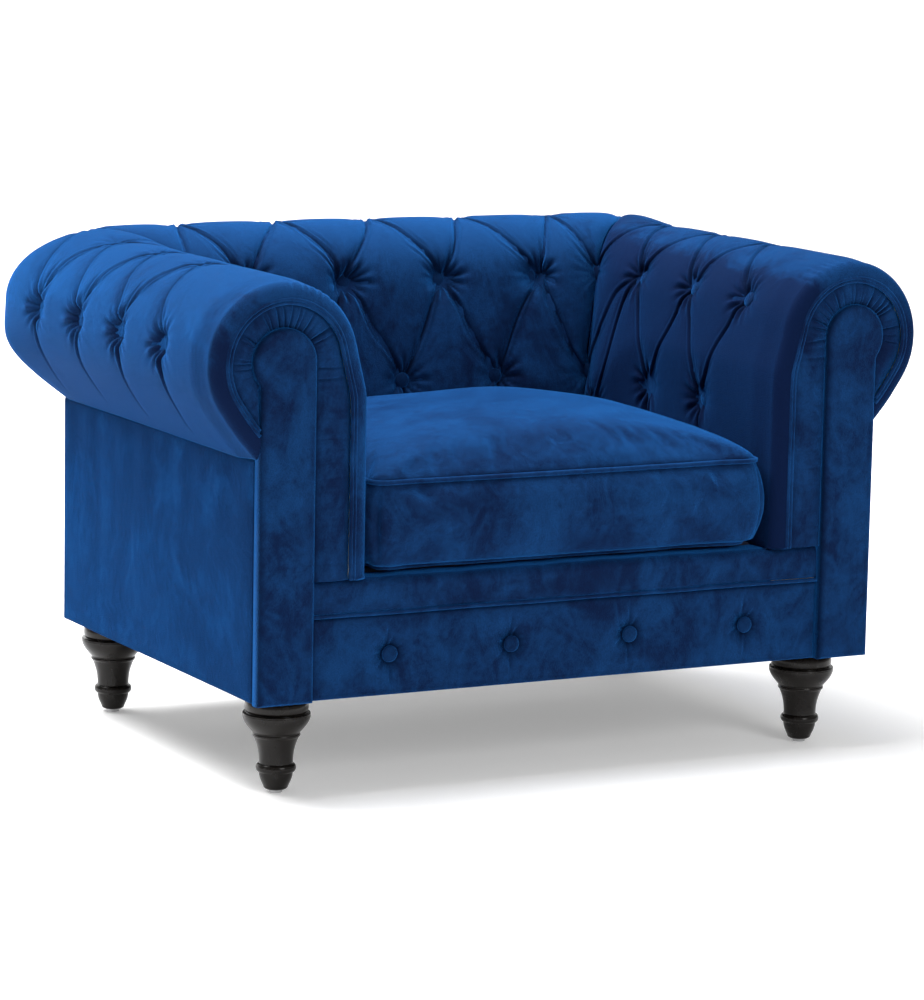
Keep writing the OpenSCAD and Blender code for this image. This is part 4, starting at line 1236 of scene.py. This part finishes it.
def cushion_start():
    """Closed lattice of the sewn cover before filling: a box whose plan corners are rounded by drawing each
    corner square in to a quarter disc, and whose top rises as a product of two flattened arches."""
    u = np.linspace(-1, 1, 90)
    x, y = np.meshgrid(u * cushion_half[0], u * cushion_half[1], indexing="ij")
    over_x = np.clip(np.abs(x) - (cushion_half[0] - corner_radius), 0, None)
    over_y = np.clip(np.abs(y) - (cushion_half[1] - corner_radius), 0, None)
    far = np.hypot(over_x, over_y)
    pull = np.where(far > 0, np.maximum(over_x, over_y) / np.maximum(far, 1e-9), 1.0)
    x = x - np.sign(x) * over_x * (1 - pull)
    y = y - np.sign(y) * over_y * (1 - pull)
    arch = (1 - np.abs(x / cushion_half[0]) ** 2.6) * (1 - np.abs(y / cushion_half[1]) ** 3.4)
    crown = cushion_crown * arch.clip(0, 1) ** 0.64
    top = np.stack([x, y + cushion_mid_y, edge_top_z - 0.006 + crown], -1)
    bottom = np.stack([x, y + cushion_mid_y, np.full_like(x, cushion_low.z + 0.0025)], -1)
    outer = np.pad(top, ((1, 1), (1, 1), (0, 0)), mode="edge")
    under = np.pad(bottom, ((1, 1), (1, 1), (0, 0)), mode="edge")
    outer[[0, -1]], outer[:, [0, -1]] = under[[0, -1]], under[:, [0, -1]]
    return shell_piece("box_cushion", outer, under, 4)


def mesh_points(mesh):
    points = np.empty(len(mesh.vertices) * 3, np.float32)
    mesh.vertices.foreach_get("co", points)
    return points.reshape(-1, 3).astype(float)


def settled(thing):
    """Replaces an object's mesh by the result of its modifiers, and removes them."""
    graph = bpy.context.evaluated_depsgraph_get()
    mesh = bpy.data.meshes.new_from_object(thing.evaluated_get(graph))
    thing.modifiers.clear()
    thing.data = mesh


def blown_up(thing, voxel, pressure, cap):
    """A bag remeshed, and blown up as cloth for 20 frames; no point moves further than cap."""
    remesh = thing.modifiers.new("remesh", "REMESH")
    remesh.mode, remesh.voxel_size = "VOXEL", voxel
    settled(thing)
    start = mesh_points(thing.data)
    cloth = thing.modifiers.new("air", "CLOTH")
    cloth.settings.quality = 6
    cloth.settings.use_pressure = True
    cloth.settings.uniform_pressure_force = pressure
    cloth.settings.tension_stiffness = cloth.settings.compression_stiffness = 12
    cloth.settings.bending_stiffness = 0.4
    cloth.settings.effector_weights.gravity = 0.0
    cloth.collision_settings.use_collision = False
    for step in range(1, 21):
        bpy.context.scene.frame_set(step)
    settled(thing)
    bpy.context.scene.frame_set(1)
    move = mesh_points(thing.data) - start
    length = np.linalg.norm(move, axis=1)[:, None]
    move *= np.minimum(1, cap / np.maximum(length, 1e-9))
    thing.data.vertices.foreach_set("co", (start + move).astype(np.float32).ravel())


def stuffed(points):
    """Uneven stuffing: slow swells on the crown and soft dents along the boxing, in the room there is."""
    x, y, z = points.T
    way = np.stack([x / 0.31, (y - cushion_mid_y) / 0.25], 1)
    way /= np.maximum(np.linalg.norm(way, axis=1)[:, None], 1e-6)
    top = smooth((z - 0.425) / 0.02)
    out = np.maximum(np.abs(x) / cushion_half[0], np.abs(y - cushion_mid_y) / cushion_half[1])
    side_part = smooth((out - 0.93) / 0.05) * (1 - top)
    z = z + top * (0.0022 * np.sin(11 * x + 0.6) * np.sin(13 * y + 1) + 0.0012 * np.sin(27 * x - 19 * y))
    tall = np.sin(math.pi * np.clip((z - 0.305) / 0.118, 0, 1))
    front = smooth((-0.30 - y) / 0.05)
    dent = side_part * tall * (0.0035 + 0.013 * front + 0.0016 * np.sin(33 * x + 25 * y)
                               + 0.0012 * np.sin(61 * (x - y) + 40 * z))
    x, y = x + way[:, 0] * dent, y + way[:, 1] * dent
    ahead = np.clip((rim_start_y - y) / rim_depth, 0, 1)
    room = room_half + rim_opening * (1 - np.sqrt(1 - ahead ** 2))
    return np.stack([np.clip(x, -room, room), np.clip(y, room_front_y, cushion_high.y - 0.0003),
                     np.maximum(z, cushion_low.z - 0.0002)], 1)


cushion = cushion_start()
blown_up(cushion, cushion_voxel, pressure=4.0, cap=0.009)
core_points = stuffed(mesh_points(cushion.data))
cushion.data.vertices.foreach_set("co", core_points.astype(np.float32).ravel())
cushion.data.update()
cushion.data.shade_smooth()
core = bpy.data.objects.new("cushion_core", cushion.data.copy())
bpy.context.scene.collection.objects.link(core)
normals = np.empty(len(core_points) * 3, np.float32)
core.data.vertices.foreach_get("normal", normals)
core_points -= 0.006 * normals.reshape(-1, 3)
core.data.vertices.foreach_set("co", core_points.astype(np.float32).ravel())
core.data.update()
smoother = cushion.modifiers.new("smooth", "SUBSURF")
smoother.levels = smoother.render_levels = 1
settled(cushion)
cushion.data.shade_smooth()
points = mesh_points(cushion.data)
# painted shade on the cloth beside both rows of piping
off_seam = np.min([np.abs(points[:, 2] - level) for level in piping_levels], axis=0)
rim_out = np.maximum(np.abs(points[:, 0]) / 0.300, np.abs(points[:, 1] - cushion_mid_y) / 0.245)
mark = cushion.data.attributes.new("fold_shade", "FLOAT", "POINT")
folded = 0.9 * np.exp(-(off_seam / 0.0055) ** 2) * smooth((rim_out - 0.97) / 0.03)
mark.data.foreach_set("value", folded.astype(np.float32))
soft_piece(core, foam_finish, "cushion_foam", "seat_cushion")
soft_piece(cushion, velvet, "cushion_cover", "seat_cushion")

tree = BVHTree.FromPolygons([tuple(v.co) for v in cushion.data.vertices],
                            [tuple(f.vertices) for f in cushion.data.polygons])


def girdle(level, count=360, proud=0.0022):
    """The cushion's outline at a level, found from outside, smoothed once and kept proud of the cloth."""
    angle = np.linspace(0, 2 * math.pi, count, endpoint=False)
    way = np.stack([np.cos(angle), np.sin(angle)], 1)
    squared = (np.abs(way[:, 0] / 0.312) ** 16 + np.abs(way[:, 1] / 0.255) ** 16) ** (-1 / 16)
    start = way * (squared + 0.03)[:, None]
    found = []
    for (x, y), (dx, dy) in zip(start, way):
        hit = tree.ray_cast(Vector((x, y + cushion_mid_y, level)), Vector((-dx, -dy, 0)))[0]
        found.append((hit.x + dx * proud, hit.y + dy * proud, level))
    found = np.array(found)
    return (np.roll(found, 1, 0) + 2 * found + np.roll(found, -1, 0)) / 4


cords = [tube(girdle(level), piping_radius, closed=True, flat_way=(0, 0, 1)) for level in piping_levels]
soft_piece(make_piece("cushion_piping", *joined(cords)), velvet, "cushion_welts",
           "seat_cushion")

tape = Finish("woven_zip_tape", {"Roughness": 0.8, "Sheen Weight": 0.2, "Sheen Tint": (0.05, 0.3, 1.0, 1.0)})
ribs = tape.node("ShaderNodeTexWave", {"wave_type": "BANDS", "bands_direction": "X"},
                 {"Vector": tape.place(), "Scale": 260.0}, "Fac")
tape.feed("Base Color", tape.blend(ribs, (0.004, 0.014, 0.045), (0.010, 0.032, 0.090)))
tape.feed("Roughness", 0.7 + ribs * 0.15)
tape.bump(ribs, 0.0003)
paint(frame["nodes"]["zip_tape"], tape)
